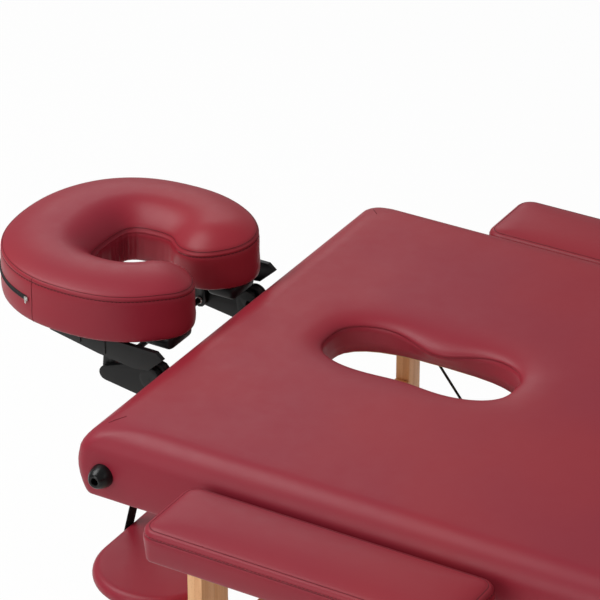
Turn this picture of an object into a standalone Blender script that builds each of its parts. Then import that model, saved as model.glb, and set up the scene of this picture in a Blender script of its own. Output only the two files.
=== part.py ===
# A folding massage table in two halves, with a face cradle, side armrests and a hanging arm shelf.
# Metres, +Z up, +X from the head end to the foot end, origin on the floor under the middle.

import math
from collections import namedtuple

import bmesh
import bpy
from mathutils import Matrix, Vector

for old in list(bpy.data.objects):
    bpy.data.objects.remove(old, do_unlink=True)

# Gaps
FIT = 0.0003            # between pieces that touch
RUN = 0.0003            # round a pin or rod in its bore
SIDE_PLAY = 0.0005      # between boards that swing past each other

# Table top, each half
SECTION_LENGTH = 0.925
TABLE_WIDTH = 0.70
TABLE_HEIGHT = 0.62     # with the legs at their shortest
PAD_THICKNESS = 0.046
PAD_ROUNDING = 0.030    # of the padded top edge
PAD_CORNER = 0.014      # plan radius of the outer corners
SEAM_CORNER = 0.004     # plan radius of the corners at the middle of the table
SECTION_GAP = 0.005     # between the two halves' rails
PAD_GAP = 0.001         # between the two halves' pads
DECK_THICKNESS = 0.004
DECK_INSET = 0.003
COVER = 0.002           # vinyl and wadding that wrap the rails
RAIL_HEIGHT = 0.0414
RAIL_THICKNESS = 0.022

# Breathing hole, a long oval whose padding swells in at the waist
HOLE_CENTRE = 0.2675    # from the head end
HOLE_HALF_LENGTH = 0.1285
HOLE_HALF_WIDTH = 0.060
HOLE_SQUARE = 0.714     # below 1 the oval is squarer than an ellipse
HOLE_WAIST = 0.020      # how far the padding swells in
HOLE_WAIST_LENGTH = 0.050
HOLE_ROUNDING = 0.030
HOLE_SEAM = 0.014       # below the top
HOLE_IN_DECK = 0.006    # how much wider the hole in the deck is

# Middle hinge
HINGE_DROP = 0.0040     # pin below the rails
HINGE_BARREL = 0.0034
HINGE_PIN = 0.0019
HINGE_LEAF = 0.0015
HINGE_LEAF_WIDTH = 0.024
HINGE_FROM_SIDE = 0.040
HINGE_KNUCKLES = 5

# Case bumpers and carrying handles
BUMPER_RADIUS = 0.015
BUMPER_LENGTH = 0.021
BUMPER_BORE = 0.0055
BUMPER_SHANK = 0.010
BUMPER_DROP = 0.058     # below the top
BUMPER_FROM_END = 0.032
HANDLE_FROM_END = 0.72
HANDLE_LENGTH = 0.19
HANDLE_REACH = 0.038
HANDLE_BAND = 0.008
HANDLE_HEIGHT = 0.024
HANDLE_FOOT = 0.026

# Legs
AXLE_FROM_END = 0.109
AXLE_DROP = 0.066
AXLE_RADIUS = 0.004
LEG_FROM_RAIL = 0.051   # outer face of the head legs from the side rail
LEG_WIDTH = 0.0305
LEG_DEPTH = 0.020
UPPER_LEG = 0.392       # axle to the lower end of the upper board
FOOT_LEG_INSET = 0.032  # lets the two pairs of legs pass when the table closes
EXTENSION_TOP = 0.137   # below the axle
SLOT_TOP = 0.152
LEG_TRAVEL = 0.22
BOLT_RADIUS = 0.004
RUBBER_FOOT = 0.012
RUBBER_FOOT_EDGE = 0.002
KNOB_RADIUS = 0.012
KNOB_LENGTH = 0.018
CROSSBAR_TOP = 0.303    # below the axle
CROSSBAR_HEIGHT = 0.052
CROSSBAR_DEPTH = 0.014

# Folding braces and their cables
BRACE_PLAY = 0.0012     # between the upper links and the foot legs' extensions
LINK_THICKNESS = 0.014
LINK_HALF_WIDTH = 0.008
LUG_THICKNESS = 0.014
BRACE_PIN = 0.003
BRACE_LUG = 0.0205      # middle rail to the upper link's pivot
BRACE_ON_LEG = 0.370    # axle to the pivot under the crossbar
CABLE_RADIUS = 0.00175
CABLE_FROM_LEG = 0.0516 # leg's outer face to where its cable leaves the axle
CABLE_PAST_KNEE = 0.040

# Face cradle, measured outwards from the head end
CRADLE_REACH = 0.32     # head end to the far side of the cushion
CUSHION_TIP_GAP = 0.026
CUSHION_WIDTH = 0.324
CUSHION_BAND = 0.112    # width of the padded horseshoe
CUSHION_RISE = 0.064    # above the table top
CUSHION_HEIGHT = 0.075
CUSHION_CROWN = 0.012   # above the outer seam
CUSHION_DISH = 0.022    # inner seam below the outer one
CUSHION_TURN = 2.39     # half the angle that the horseshoe runs through
CUSHION_SQUARE = 0.85   # below 1 the horseshoe is squarer than an ellipse
PLATFORM_THICKNESS = 0.008
PLATFORM_INSET = 0.016
HUB_OUT = 0.045
HUB_DROP = 0.062
HUB_RADIUS = 0.012
HUB_CAP_RADIUS = 0.0145
CAP_FROM_CHEEK = 0.001
BAR_DROP = 0.092        # bar between the base's side plates
BAR_RADIUS = 0.008
BASE_PLATE = 0.008
BASE_RIM = 0.004        # of the side plates round the hub and the bar
ROD_FROM_ARM = 0.0015
ROD_RADIUS = 0.006
ROD_DROP = 0.066
ROD_INSIDE = 0.085
ARM_FROM_CHEEK = 0.012
ARM_THICKNESS = 0.008
ARM_HUB = 0.020
ARM_HEEL = 0.011        # the arm's lower lobe
ARM_HEEL_OUT = 0.070
ARM_HEEL_DROP = 0.085
ARM_END = 0.010
TILT_OUT = 0.118
TILT_DROP = 0.079
TILT_ROD = 0.004
TILT_LUG = 0.0082       # thickness of the platform's tilt lugs
CHEEK_FROM_EDGE = 0.024 # platform's side cheeks from the cushion's side
CHEEK_THICKNESS = 0.007

# Side armrests
ARMREST_FROM_END = 0.162
ARMREST_LENGTH = 0.408
ARMREST_GAP = 0.012     # from the side of the table
ARMREST_WIDTH = 0.118
ARMREST_DROP = 0.016
ARMREST_HEIGHT = 0.050
ARMREST_CORNER = 0.014
ARM_BOARD = 0.012
ARM_BOARD_INSET = 0.032
PEG_RADIUS = 0.005
PEG_PAST_RAIL = 0.017   # inner end of the pegs from the side rail
PEG_INSET = 0.080       # from each end of the armrest

# Hanging arm shelf
SHELF_FRONT = -0.088    # from the head end, outwards
SHELF_DEPTH = 0.173
SHELF_HALF_LENGTH = 0.266
SHELF_DROP = 0.301      # middle of the board below the top
SHELF_THICKNESS = 0.022
SHELF_CORNER = 0.085
STRAP_FROM_LUG = 0.002
STRAP_SPLAY = 0.030     # a strap's place at the shelf, out from its place at the bar
STRAP_WIDTH = 0.021
STRAP_THICKNESS = 0.002

# Facets
ROUND = 16
ARC = 6
LONG_STEPS = 6
SHORT_STEPS = 5
SPINE = 24
SMOOTH_ANGLE = math.radians(35)

TOP = TABLE_HEIGHT
PAD_BOTTOM = TOP - PAD_THICKNESS
DECK_TOP = PAD_BOTTOM - FIT
DECK_BOTTOM = DECK_TOP - DECK_THICKNESS
RAIL_TOP = DECK_BOTTOM - FIT
RAIL_BOTTOM = RAIL_TOP - RAIL_HEIGHT
RAIL_OUTER = TABLE_WIDTH / 2 - COVER
RAIL_INNER = RAIL_OUTER - RAIL_THICKNESS
HINGE_Z = RAIL_BOTTOM - HINGE_DROP
HINGE_LENGTH = TABLE_WIDTH - 2 * HINGE_FROM_SIDE
AXLE_Z = TOP - AXLE_DROP
LEG_LENGTH = AXLE_Z - RUBBER_FOOT - FIT
BOLT_DROP = SLOT_TOP + LEG_TRAVEL
LEG_SPREAD = RAIL_INNER - LEG_FROM_RAIL
CABLE_OUT = LEG_SPREAD - CABLE_FROM_LEG
BRACE_OUT = LEG_SPREAD - FOOT_LEG_INSET - 2 * LEG_WIDTH - FIT - BRACE_PLAY
BRACE_ON_RAIL = SECTION_LENGTH - SECTION_GAP / 2 - RAIL_THICKNESS - BRACE_LUG - AXLE_FROM_END
CHEEK_IN = CUSHION_WIDTH / 2 - CHEEK_FROM_EDGE - CHEEK_THICKNESS
ARM_IN = CHEEK_IN - ARM_FROM_CHEEK - ARM_THICKNESS
LUG_IN = ARM_IN - FIT - TILT_LUG
STRAP_IN = LUG_IN - STRAP_FROM_LUG - STRAP_WIDTH
ROD_SPREAD = ARM_IN - ROD_FROM_ARM - ROD_RADIUS
PLATE_OUT = ARM_IN - SIDE_PLAY
CAP_OUT = CHEEK_IN - CAP_FROM_CHEEK
ARMREST_IN = TABLE_WIDTH / 2 + ARMREST_GAP
PEG_REACH = RAIL_INNER - PEG_PAST_RAIL
HEAD_X = (CRADLE_REACH - 2 * SECTION_LENGTH) / 2
HINGE_X = HEAD_X + SECTION_LENGTH
FOOT_X = HINGE_X + SECTION_LENGTH

# Each half is laid out from its own outer end: x = edge + way * distance from that end.
End = namedtuple("End", "name edge way inset")
HEAD = End("head", HEAD_X, 1, 0.0)
FOOT = End("foot", FOOT_X, -1, FOOT_LEG_INSET)
SIDES = {"left": 1, "right": -1}


def make_material(name, colour, roughness, metallic=0.0):
    material = bpy.data.materials.new(name)
    material.use_nodes = True
    shader = material.node_tree.nodes["Principled BSDF"]
    shader.inputs["Base Color"].default_value = (*colour, 1)
    shader.inputs["Roughness"].default_value = roughness
    shader.inputs["Metallic"].default_value = metallic
    return material


VINYL = make_material("vinyl", (0.29, 0.035, 0.05), 0.45)
BEECH = make_material("beech", (0.62, 0.40, 0.20), 0.4)
PLYWOOD = make_material("plywood", (0.55, 0.38, 0.22), 0.6)
STEEL = make_material("steel", (0.60, 0.60, 0.62), 0.3, 1.0)
BLACK_METAL = make_material("black_metal", (0.02, 0.02, 0.022), 0.4, 0.6)
BLACK_PLASTIC = make_material("black_plastic", (0.015, 0.015, 0.016), 0.5)
RUBBER = make_material("rubber", (0.012, 0.012, 0.012), 0.7)
WEBBING = make_material("webbing", (0.01, 0.01, 0.01), 0.9)


def add_object(name, data, origin, material, axis=None):
    obj = bpy.data.objects.new(name, data)
    obj.location = origin
    data.materials.append(material)
    bpy.context.scene.collection.objects.link(obj)
    if axis:
        obj.parent = axis
        obj.matrix_parent_inverse = Matrix.Translation(axis.location).inverted()
    return obj


def make_mesh(name, bm, origin):
    bmesh.ops.recalc_face_normals(bm, faces=bm.faces)
    bmesh.ops.translate(bm, verts=bm.verts, vec=-Vector(origin))
    mesh = bpy.data.meshes.new(name)
    bm.to_mesh(mesh)
    bm.free()
    mesh.shade_smooth()
    mesh.set_sharp_from_angle(angle=SMOOTH_ANGLE)
    return mesh


def make_piece(name, bm, material, origin=(0, 0, 0), axis=None):
    return add_object(name, make_mesh(name, bm, origin), origin, material, axis)


def combine(obj, operation, bm):
    tool = make_piece(f"{obj.name}_{operation.lower()}", bm, obj.active_material)
    tool.hide_render = True
    tool.display_type = "WIRE"
    modifier = obj.modifiers.new(operation.title(), "BOOLEAN")
    modifier.operation = operation
    modifier.object = tool


def make_axis(name, x, y, z, parent=None):
    axis = bpy.data.objects.new(f"axis_{name}", None)
    axis.empty_display_size = 0.05
    axis.location = (x, y, z)
    bpy.context.scene.collection.objects.link(axis)
    if parent:
        axis.parent = parent
        axis.matrix_parent_inverse = Matrix.Translation(parent.location).inverted()
    return axis


def along(end, distance):
    return end.edge + end.way * distance


def upright(end, side=1):
    # Outlines drawn as (distance from the end, height), run across the table.
    return lambda a, b, c: Vector((along(end, a), side * c, b))


def level(end):
    # Outlines drawn as (distance from the end, across), run upwards.
    return lambda a, b, c: Vector((along(end, a), b, c))


def add_prism(bm, place, outline, low, high, holes=()):
    edges = []
    for loop in (outline, *holes):
        verts = [bm.verts.new(place(a, b, low)) for a, b in loop]
        edges += [bm.edges.new((verts[i - 1], verts[i])) for i in range(len(verts))]
    filled = bmesh.ops.triangle_fill(bm, edges=edges, use_beauty=True)["geom"]
    faces = [part for part in filled if isinstance(part, bmesh.types.BMFace)]
    raised = bmesh.ops.extrude_face_region(bm, geom=faces, use_keep_orig=True)["geom"]
    verts = [part for part in raised if isinstance(part, bmesh.types.BMVert)]
    bmesh.ops.translate(bm, verts=verts, vec=place(0, 0, high) - place(0, 0, low))


def add_rings(bm, rings, closed=False):
    loops = [[bm.verts.new(point) for point in ring] for ring in rings]
    count = len(loops[0])
    for k in range(0 if closed else 1, len(loops)):
        for i in range(count):
            bm.faces.new((loops[k - 1][i - 1], loops[k - 1][i], loops[k][i], loops[k][i - 1]))
    if not closed:
        bm.faces.new(loops[0])
        bm.faces.new(loops[-1])


def add_turned(bm, start, direction, profile, sides=ROUND):
    # A turned piece: (distance along the axis, radius) from one end to the other.
    turn = Vector((0, 0, 1)).rotation_difference(Vector(direction))
    rings = []
    for distance, radius in profile:
        ring = [(radius * math.cos(a), radius * math.sin(a), distance) for a in angles(sides)]
        rings.append([Vector(start) + turn @ Vector(point) for point in ring])
    add_rings(bm, rings)


def add_rod(bm, start, end, radius, sides=ROUND):
    reach = Vector(end) - Vector(start)
    add_turned(bm, start, reach.normalized(), [(0, radius), (reach.length, radius)], sides)


def angles(count):
    return [2 * math.pi * i / count for i in range(count)]


def circle(centre, radius, sides=ROUND):
    return [(centre[0] + radius * math.cos(a), centre[1] + radius * math.sin(a)) for a in angles(sides)]


def belt(circles, grow=0.0, steps=ARC):
    # The tight outline round circles (a, b, radius) that are listed anticlockwise.
    normals = []
    for i, (a, b, radius) in enumerate(circles):
        na, nb, after = circles[(i + 1) % len(circles)]
        apart = math.hypot(na - a, nb - b)
        normals.append(math.atan2(nb - b, na - a) - math.acos((radius - after) / apart))
    points = []
    for i, (a, b, radius) in enumerate(circles):
        first = normals[i - 1]
        sweep = (normals[i] - first) % (2 * math.pi)
        for step in range(steps + 1):
            turn = first + sweep * step / steps
            points.append((a + (radius + grow) * math.cos(turn), b + (radius + grow) * math.sin(turn)))
    return points


def rounded_outline(low, high, radii, inset=0.0, long_steps=LONG_STEPS, short_steps=SHORT_STEPS, arc=ARC):
    # A rectangle from low to high with corner radii (near low a, near high a), moved in by inset.
    (a0, b0), (a1, b1) = low, high
    corners = (
        (a1, b0, radii[1], -90, short_steps),
        (a1, b1, radii[1], 0, long_steps),
        (a0, b1, radii[0], 90, short_steps),
        (a0, b0, radii[0], 180, long_steps),
    )
    points = []
    for a, b, radius, first, _ in corners:
        kept = max(radius - inset, radius / 4)
        ca = a - math.copysign(inset + kept, a - (a0 + a1) / 2)
        cb = b - math.copysign(inset + kept, b - (b0 + b1) / 2)
        turns = [math.radians(first + 90 * step / arc) for step in range(arc + 1)]
        points.append([(ca + kept * math.cos(t), cb + kept * math.sin(t)) for t in turns])
    outline = []
    for i, corner in enumerate(points):
        outline += corner
        (a, b), (na, nb) = corner[-1], points[(i + 1) % 4][0]
        steps = corners[i][4]
        outline += [(a + (na - a) * s / steps, b + (nb - b) * s / steps) for s in range(1, steps)]
    return outline


def squared(value, power):
    return math.copysign(abs(value) ** power, value)


def hole_point(angle, grow=0.0, swell=0.0):
    # A squared oval. Its padding swells in at the waist by a share of HOLE_WAIST.
    a = (HOLE_HALF_LENGTH + grow) * squared(math.cos(angle), HOLE_SQUARE)
    b = (HOLE_HALF_WIDTH + grow) * squared(math.sin(angle), HOLE_SQUARE)
    waist = swell * HOLE_WAIST * math.exp(-(a / HOLE_WAIST_LENGTH) ** 2)
    return HOLE_CENTRE + a, b - math.copysign(waist, b)


def pad_outline(inset):
    half = TABLE_WIDTH / 2
    high = (SECTION_LENGTH - PAD_GAP / 2, half)
    return rounded_outline((0, -half), high, (PAD_CORNER, SEAM_CORNER), inset)


# Height above the pad's underside and inset of the padded edge, from the bottom up.
def padded_edge(height, rounding, draw_in):
    rows = [(0, draw_in / 3), (0.2 * (height - rounding), draw_in), (height - rounding, 0)]
    for degrees in (30, 60, 90):
        turn = math.radians(degrees)
        rows.append((height - rounding * (1 - math.sin(turn)), rounding * (1 - math.cos(turn))))
    return rows


def make_pad(end, with_hole):
    bm = bmesh.new()
    place = level(end)
    edge = padded_edge(PAD_THICKNESS, PAD_ROUNDING, COVER)
    rings = [[place(a, b, PAD_BOTTOM + height) for a, b in pad_outline(inset)] for height, inset in edge]
    if with_hole:
        count = len(rings[0])
        turns = [2 * math.pi * (i - ARC - SHORT_STEPS / 2) / count for i in range(count)]
        lip = (
            (HOLE_ROUNDING, 0.0, 0.0), (HOLE_ROUNDING / 3, 0.3 * HOLE_SEAM, 0.5),
            (0.0, HOLE_SEAM, 1.0), (0.0, PAD_THICKNESS, 0.0),
        )
        inner = []
        for grow, drop, swell in lip:
            inner.append([place(*hole_point(turn, grow, swell), TOP - drop) for turn in turns])
        rings.append([(outer + near) / 2 for outer, near in zip(rings[-1], inner[0])])
        add_rings(bm, rings + inner, closed=True)
    else:
        middle = pad_outline(4 * PAD_ROUNDING)
        rings.append([place(a, b, TOP) for a, b in middle])
        add_rings(bm, rings)
    return bm


def rail_outline(inset):
    low = (COVER, -RAIL_OUTER)
    high = (SECTION_LENGTH - SECTION_GAP / 2, RAIL_OUTER)
    return rounded_outline(low, high, (PAD_CORNER - COVER, SEAM_CORNER), inset, 1, 1)


def make_section(end, axis):
    name = end.name
    with_hole = end is HEAD
    make_piece(f"{name}_pad", make_pad(end, with_hole), VINYL, axis=axis)

    bm = bmesh.new()
    holes = [[hole_point(turn, HOLE_IN_DECK) for turn in angles(2 * ROUND)]] if with_hole else []
    add_prism(bm, level(end), rail_outline(DECK_INSET), DECK_BOTTOM, DECK_TOP, holes)
    make_piece(f"{name}_deck", bm, PLYWOOD, axis=axis)

    bm = bmesh.new()
    add_prism(bm, level(end), rail_outline(0), RAIL_BOTTOM, RAIL_TOP, [rail_outline(RAIL_THICKNESS)])
    frame = make_piece(f"{name}_frame", bm, BEECH, axis=axis)
    combine(frame, "UNION", make_brace_lugs(end))
    combine(frame, "DIFFERENCE", make_frame_bores(end))

    bm = bmesh.new()
    x = along(end, AXLE_FROM_END)
    reach = RAIL_OUTER - COVER
    add_rod(bm, (x, -reach, AXLE_Z), (x, reach, AXLE_Z), AXLE_RADIUS)
    make_piece(f"{name}_leg_axle", bm, STEEL, axis=axis)

    for place, distance in (("end", BUMPER_FROM_END), ("middle", SECTION_LENGTH - BUMPER_FROM_END)):
        make_bumper(f"{name}_bumper_{place}", end, distance, axis)
    make_handle(end, axis)
    for side in SIDES:
        make_cable(end, side, axis)


def brace_pivot(end):
    return along(end, AXLE_FROM_END + BRACE_ON_RAIL)


def lug_span():
    outer = BRACE_OUT - LINK_THICKNESS - SIDE_PLAY
    return outer - LUG_THICKNESS - LINK_THICKNESS, outer


def make_brace_lugs(end):
    # A lug on the middle rail beside each upper link.
    bm = bmesh.new()
    pivot = AXLE_FROM_END + BRACE_ON_RAIL
    inside = SECTION_LENGTH - SECTION_GAP / 2 - RAIL_THICKNESS / 2
    low, high = lug_span()
    outline = belt(((pivot, AXLE_Z, 0.009), (inside, AXLE_Z, 0.009)))
    for side in SIDES.values():
        add_prism(bm, upright(end, side), outline, low, high)
    return bm


def make_frame_bores(end):
    bm = bmesh.new()
    past = TABLE_WIDTH / 2
    x = along(end, AXLE_FROM_END)
    add_rod(bm, (x, -past, AXLE_Z), (x, past, AXLE_Z), AXLE_RADIUS + RUN)
    low, high = lug_span()
    x = brace_pivot(end)
    for side in SIDES.values():
        start, stop = (x, side * (low - FIT), AXLE_Z), (x, side * (high + FIT), AXLE_Z)
        add_rod(bm, start, stop, BRACE_PIN + RUN)
        if end is HEAD:
            for u in peg_places():
                inner = (along(end, u), side * PEG_REACH, peg_height())
                outer = (along(end, u), side * past, peg_height())
                add_rod(bm, inner, outer, PEG_RADIUS + RUN)
            rod = (along(end, 0), side * ROD_SPREAD, TOP - ROD_DROP)
            add_rod(bm, rod, (along(end, ROD_INSIDE), rod[1], rod[2]), ROD_RADIUS + RUN)
    return bm


def make_hinge(axis):
    # A long hinge under the rails: the knuckles take turns between the two leaves.
    length = HINGE_LENGTH / HINGE_KNUCKLES
    leaf_top = RAIL_BOTTOM - FIT
    for end, first in ((HEAD, 0), (FOOT, 1)):
        inner = SECTION_LENGTH - HINGE_BARREL - SIDE_PLAY
        outer = inner - HINGE_LEAF_WIDTH
        bm = bmesh.new()
        leaf_bottom = leaf_top - HINGE_LEAF
        sheet = [(outer, leaf_top), (inner, leaf_top), (inner, leaf_bottom), (outer, leaf_bottom)]
        add_prism(bm, upright(end), sheet, -HINGE_LENGTH / 2, HINGE_LENGTH / 2)
        leaf = make_piece(f"hinge_leaf_{end.name}", bm, STEEL, axis=axis if end is FOOT else None)
        knuckles = bmesh.new()
        bores = bmesh.new()
        for k in range(first, HINGE_KNUCKLES, 2):
            low = -HINGE_LENGTH / 2 + k * length + SIDE_PLAY / 2
            high = low + length - SIDE_PLAY
            root = SECTION_LENGTH - HINGE_BARREL - 2 * SIDE_PLAY - HINGE_LEAF
            middle = leaf_top - HINGE_LEAF / 2
            outline = belt(((root, middle, HINGE_LEAF * 0.4), (SECTION_LENGTH, HINGE_Z, HINGE_BARREL)))
            add_prism(knuckles, upright(end), outline, low, high)
            start, stop = (HINGE_X, low - FIT, HINGE_Z), (HINGE_X, high + FIT, HINGE_Z)
            add_rod(bores, start, stop, HINGE_PIN + RUN)
        combine(leaf, "UNION", knuckles)
        combine(leaf, "DIFFERENCE", bores)
    bm = bmesh.new()
    half = HINGE_LENGTH / 2
    add_rod(bm, (HINGE_X, -half, HINGE_Z), (HINGE_X, half, HINGE_Z), HINGE_PIN)
    make_piece("hinge_pin", bm, STEEL)


def make_bumper(name, end, distance, axis):
    # A rubber stud on the right side. Its root is shaped to the rail, which is round near the corner.
    bm = bmesh.new()
    root = RAIL_OUTER - RAIL_THICKNESS / 2
    foot = TABLE_WIDTH / 2 + SIDE_PLAY - root
    tip_at = foot + BUMPER_LENGTH
    round_edge = 0.003
    profile = [
        (0, BUMPER_SHANK), (foot, BUMPER_SHANK), (foot, BUMPER_RADIUS), (foot + 0.007, BUMPER_RADIUS),
        (tip_at - 2 * round_edge, BUMPER_RADIUS - 0.002),
        (tip_at - round_edge / 3, BUMPER_RADIUS - round_edge),
        (tip_at, BUMPER_RADIUS - 2 * round_edge), (tip_at, BUMPER_BORE),
        (tip_at - 0.013, BUMPER_BORE * 0.9),
    ]
    add_turned(bm, (along(end, distance), -root, TOP - BUMPER_DROP), (0, -1, 0), profile)
    stud = make_piece(name, bm, RUBBER, axis=axis)
    rail = bmesh.new()
    add_prism(rail, level(end), rail_outline(-FIT), RAIL_BOTTOM, PAD_BOTTOM)
    combine(stud, "DIFFERENCE", rail)


def make_handle(end, axis):
    bm = bmesh.new()
    start, stop = HANDLE_FROM_END - HANDLE_LENGTH / 2, HANDLE_FROM_END + HANDLE_LENGTH / 2
    back, front = RAIL_OUTER + FIT, TABLE_WIDTH / 2 + HANDLE_REACH
    inside = front - HANDLE_BAND
    outline = [
        (start, back), (start + HANDLE_FOOT, back), (start + 1.4 * HANDLE_FOOT, inside),
        (stop - 1.4 * HANDLE_FOOT, inside), (stop - HANDLE_FOOT, back), (stop, back),
        (stop - HANDLE_FOOT / 2, front - HANDLE_BAND / 4), (stop - HANDLE_FOOT, front),
        (start + HANDLE_FOOT, front), (start + HANDLE_FOOT / 2, front - HANDLE_BAND / 4),
    ]
    middle = (RAIL_TOP + RAIL_BOTTOM) / 2 - COVER
    add_prism(bm, level(end), outline, middle - HANDLE_HEIGHT / 2, middle + HANDLE_HEIGHT / 2)
    make_piece(f"{end.name}_handle", bm, BLACK_PLASTIC, axis=axis)


def leg_faces(end):
    # Inner and outer face of the upper board, then of the extension inside it.
    outer = LEG_SPREAD - end.inset
    inner = outer - LEG_WIDTH
    return (inner, outer), (inner - FIT - LEG_WIDTH, inner - FIT)


def make_legs(end, section_axis):
    x = along(end, AXLE_FROM_END)
    axis = make_axis(f"{end.name}_leg_fold", x, 0, AXLE_Z, section_axis)
    upper, lower = leg_faces(end)
    u, half = AXLE_FROM_END, LEG_DEPTH / 2
    turns = [math.pi * i / ARC for i in range(ARC + 1)]
    head = [(u + half * math.cos(t), AXLE_Z + half * math.sin(t)) for t in turns]
    board = head + [(u - half, AXLE_Z - UPPER_LEG), (u + half, AXLE_Z - UPPER_LEG)]
    bores = [circle((u, AXLE_Z), AXLE_RADIUS + RUN), circle((u, AXLE_Z - BOLT_DROP), BOLT_RADIUS + RUN)]
    slot_radius = BOLT_RADIUS + RUN
    slot = belt(((u, AXLE_Z - BOLT_DROP, slot_radius), (u, AXLE_Z - SLOT_TOP, slot_radius)))
    ends = (AXLE_Z - LEG_LENGTH, AXLE_Z - EXTENSION_TOP)
    lower_board = [(u - half, ends[0]), (u + half, ends[0]), (u + half, ends[1]), (u - half, ends[1])]
    for side, sign in SIDES.items():
        bm = bmesh.new()
        add_prism(bm, upright(end, sign), board, *upper, bores)
        make_piece(f"{end.name}_leg_{side}", bm, BEECH, axis=axis)

        name = f"{end.name}_leg_extension_{side}"
        bolt = (x, sign * upper[1], AXLE_Z - BOLT_DROP)
        slide = make_axis(name, *bolt, axis)
        bm = bmesh.new()
        add_prism(bm, upright(end, sign), lower_board, *lower, [slot])
        make_piece(name, bm, BEECH, axis=slide)

        bm = bmesh.new()
        edge = RUBBER_FOOT_EDGE
        low, high = (u - half, lower[0]), (u + half, lower[1])
        rings = []
        for height, inset in ((0, edge), (edge, 0), (RUBBER_FOOT, 0)):
            outline = rounded_outline(low, high, (edge, edge), inset, 1, 1, 2)
            rings.append([Vector((along(end, a), sign * b, height)) for a, b in outline])
        add_rings(bm, rings)
        make_piece(f"{end.name}_rubber_foot_{side}", bm, RUBBER, axis=slide)

        make_knob(f"{end.name}_knob_{side}", bolt, sign, upper[1] - lower[0], axis)
    make_crossbar(end, upper[1], axis)
    return axis


def make_knob(name, bolt, sign, grip, leg_axis):
    bm = bmesh.new()
    profile = [
        (-grip, BOLT_RADIUS), (FIT, BOLT_RADIUS), (FIT, KNOB_RADIUS * 0.75), (0.004, KNOB_RADIUS * 0.75),
        (0.006, KNOB_RADIUS), (KNOB_LENGTH - 0.002, KNOB_RADIUS), (KNOB_LENGTH, KNOB_RADIUS - 0.002),
    ]
    add_turned(bm, bolt, (0, sign, 0), profile)
    make_piece(name, bm, BLACK_PLASTIC, origin=bolt, axis=make_axis(name, *bolt, leg_axis))


def make_crossbar(end, reach, axis):
    # A rail across the outer faces of the legs, with a lug below it for each lower link.
    bm = bmesh.new()
    front = AXLE_FROM_END - LEG_DEPTH / 2 - FIT - CROSSBAR_DEPTH
    top, bottom = AXLE_Z - CROSSBAR_TOP, AXLE_Z - CROSSBAR_TOP - CROSSBAR_HEIGHT
    back = front + CROSSBAR_DEPTH
    outline = [(front, bottom), (back, bottom), (back, top), (front, top)]
    add_prism(bm, upright(end), outline, -reach, reach)
    bar = make_piece(f"{end.name}_crossbar", bm, BEECH, axis=axis)
    pivot = (AXLE_FROM_END, AXLE_Z - BRACE_ON_LEG, 0.008)
    root = (front + CROSSBAR_DEPTH / 2, bottom + 0.010, CROSSBAR_DEPTH / 3)
    low, high = lower_lug_span()
    lugs, bores = bmesh.new(), bmesh.new()
    for side in SIDES.values():
        add_prism(lugs, upright(end, side), belt((pivot, root)), low, high)
        x = along(end, AXLE_FROM_END)
        start, stop = (x, side * (low - FIT), pivot[1]), (x, side * (high + FIT), pivot[1])
        add_rod(bores, start, stop, BRACE_PIN + RUN)
    combine(bar, "UNION", lugs)
    combine(bar, "DIFFERENCE", bores)


def lower_lug_span():
    outer = BRACE_OUT - 2 * LINK_THICKNESS - 2 * SIDE_PLAY
    return outer - LUG_THICKNESS, outer


def brace_points():
    # Rail pivot, knee and leg pivot as (distance from the end, height). Folded, both links lie flat.
    span = math.hypot(BRACE_ON_RAIL, BRACE_ON_LEG)
    lower = (span - BRACE_ON_RAIL + BRACE_ON_LEG) / 2
    rail = Vector((AXLE_FROM_END + BRACE_ON_RAIL, AXLE_Z))
    leg = Vector((AXLE_FROM_END, AXLE_Z - BRACE_ON_LEG))
    return rail, leg + (rail - leg) * lower / span, leg


def make_link(name, end, side, points, span, lug, axis):
    # A wooden link with the pin at its first end, which turns in a lug on its inner side.
    bm = bmesh.new()
    outline = belt([(*point, LINK_HALF_WIDTH) for point in points])
    add_prism(bm, upright(end, side), outline, *span)
    link = make_piece(name, bm, BEECH, axis=axis)
    pin = bmesh.new()
    x, z = along(end, points[0][0]), points[0][1]
    add_rod(pin, (x, side * lug[0], z), (x, side * (span[0] + span[1]) / 2, z), BRACE_PIN)
    combine(link, "UNION", pin)


def make_braces(end, section_axis, leg_axis):
    rail, knee, leg = brace_points()
    upper_axis = make_axis(f"{end.name}_upper_links", along(end, rail[0]), 0, rail[1], section_axis)
    lower_axis = make_axis(f"{end.name}_lower_links", along(end, leg[0]), 0, leg[1], leg_axis)
    upper_span = (BRACE_OUT - LINK_THICKNESS, BRACE_OUT)
    outer = upper_span[0] - SIDE_PLAY
    lower_span = (outer - LINK_THICKNESS, outer)
    for side, sign in SIDES.items():
        name = f"{end.name}_upper_link_{side}"
        make_link(name, end, sign, (rail, knee), upper_span, lug_span(), upper_axis)
        name = f"{end.name}_lower_link_{side}"
        make_link(name, end, sign, (leg, knee), lower_span, lower_lug_span(), lower_axis)


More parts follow.
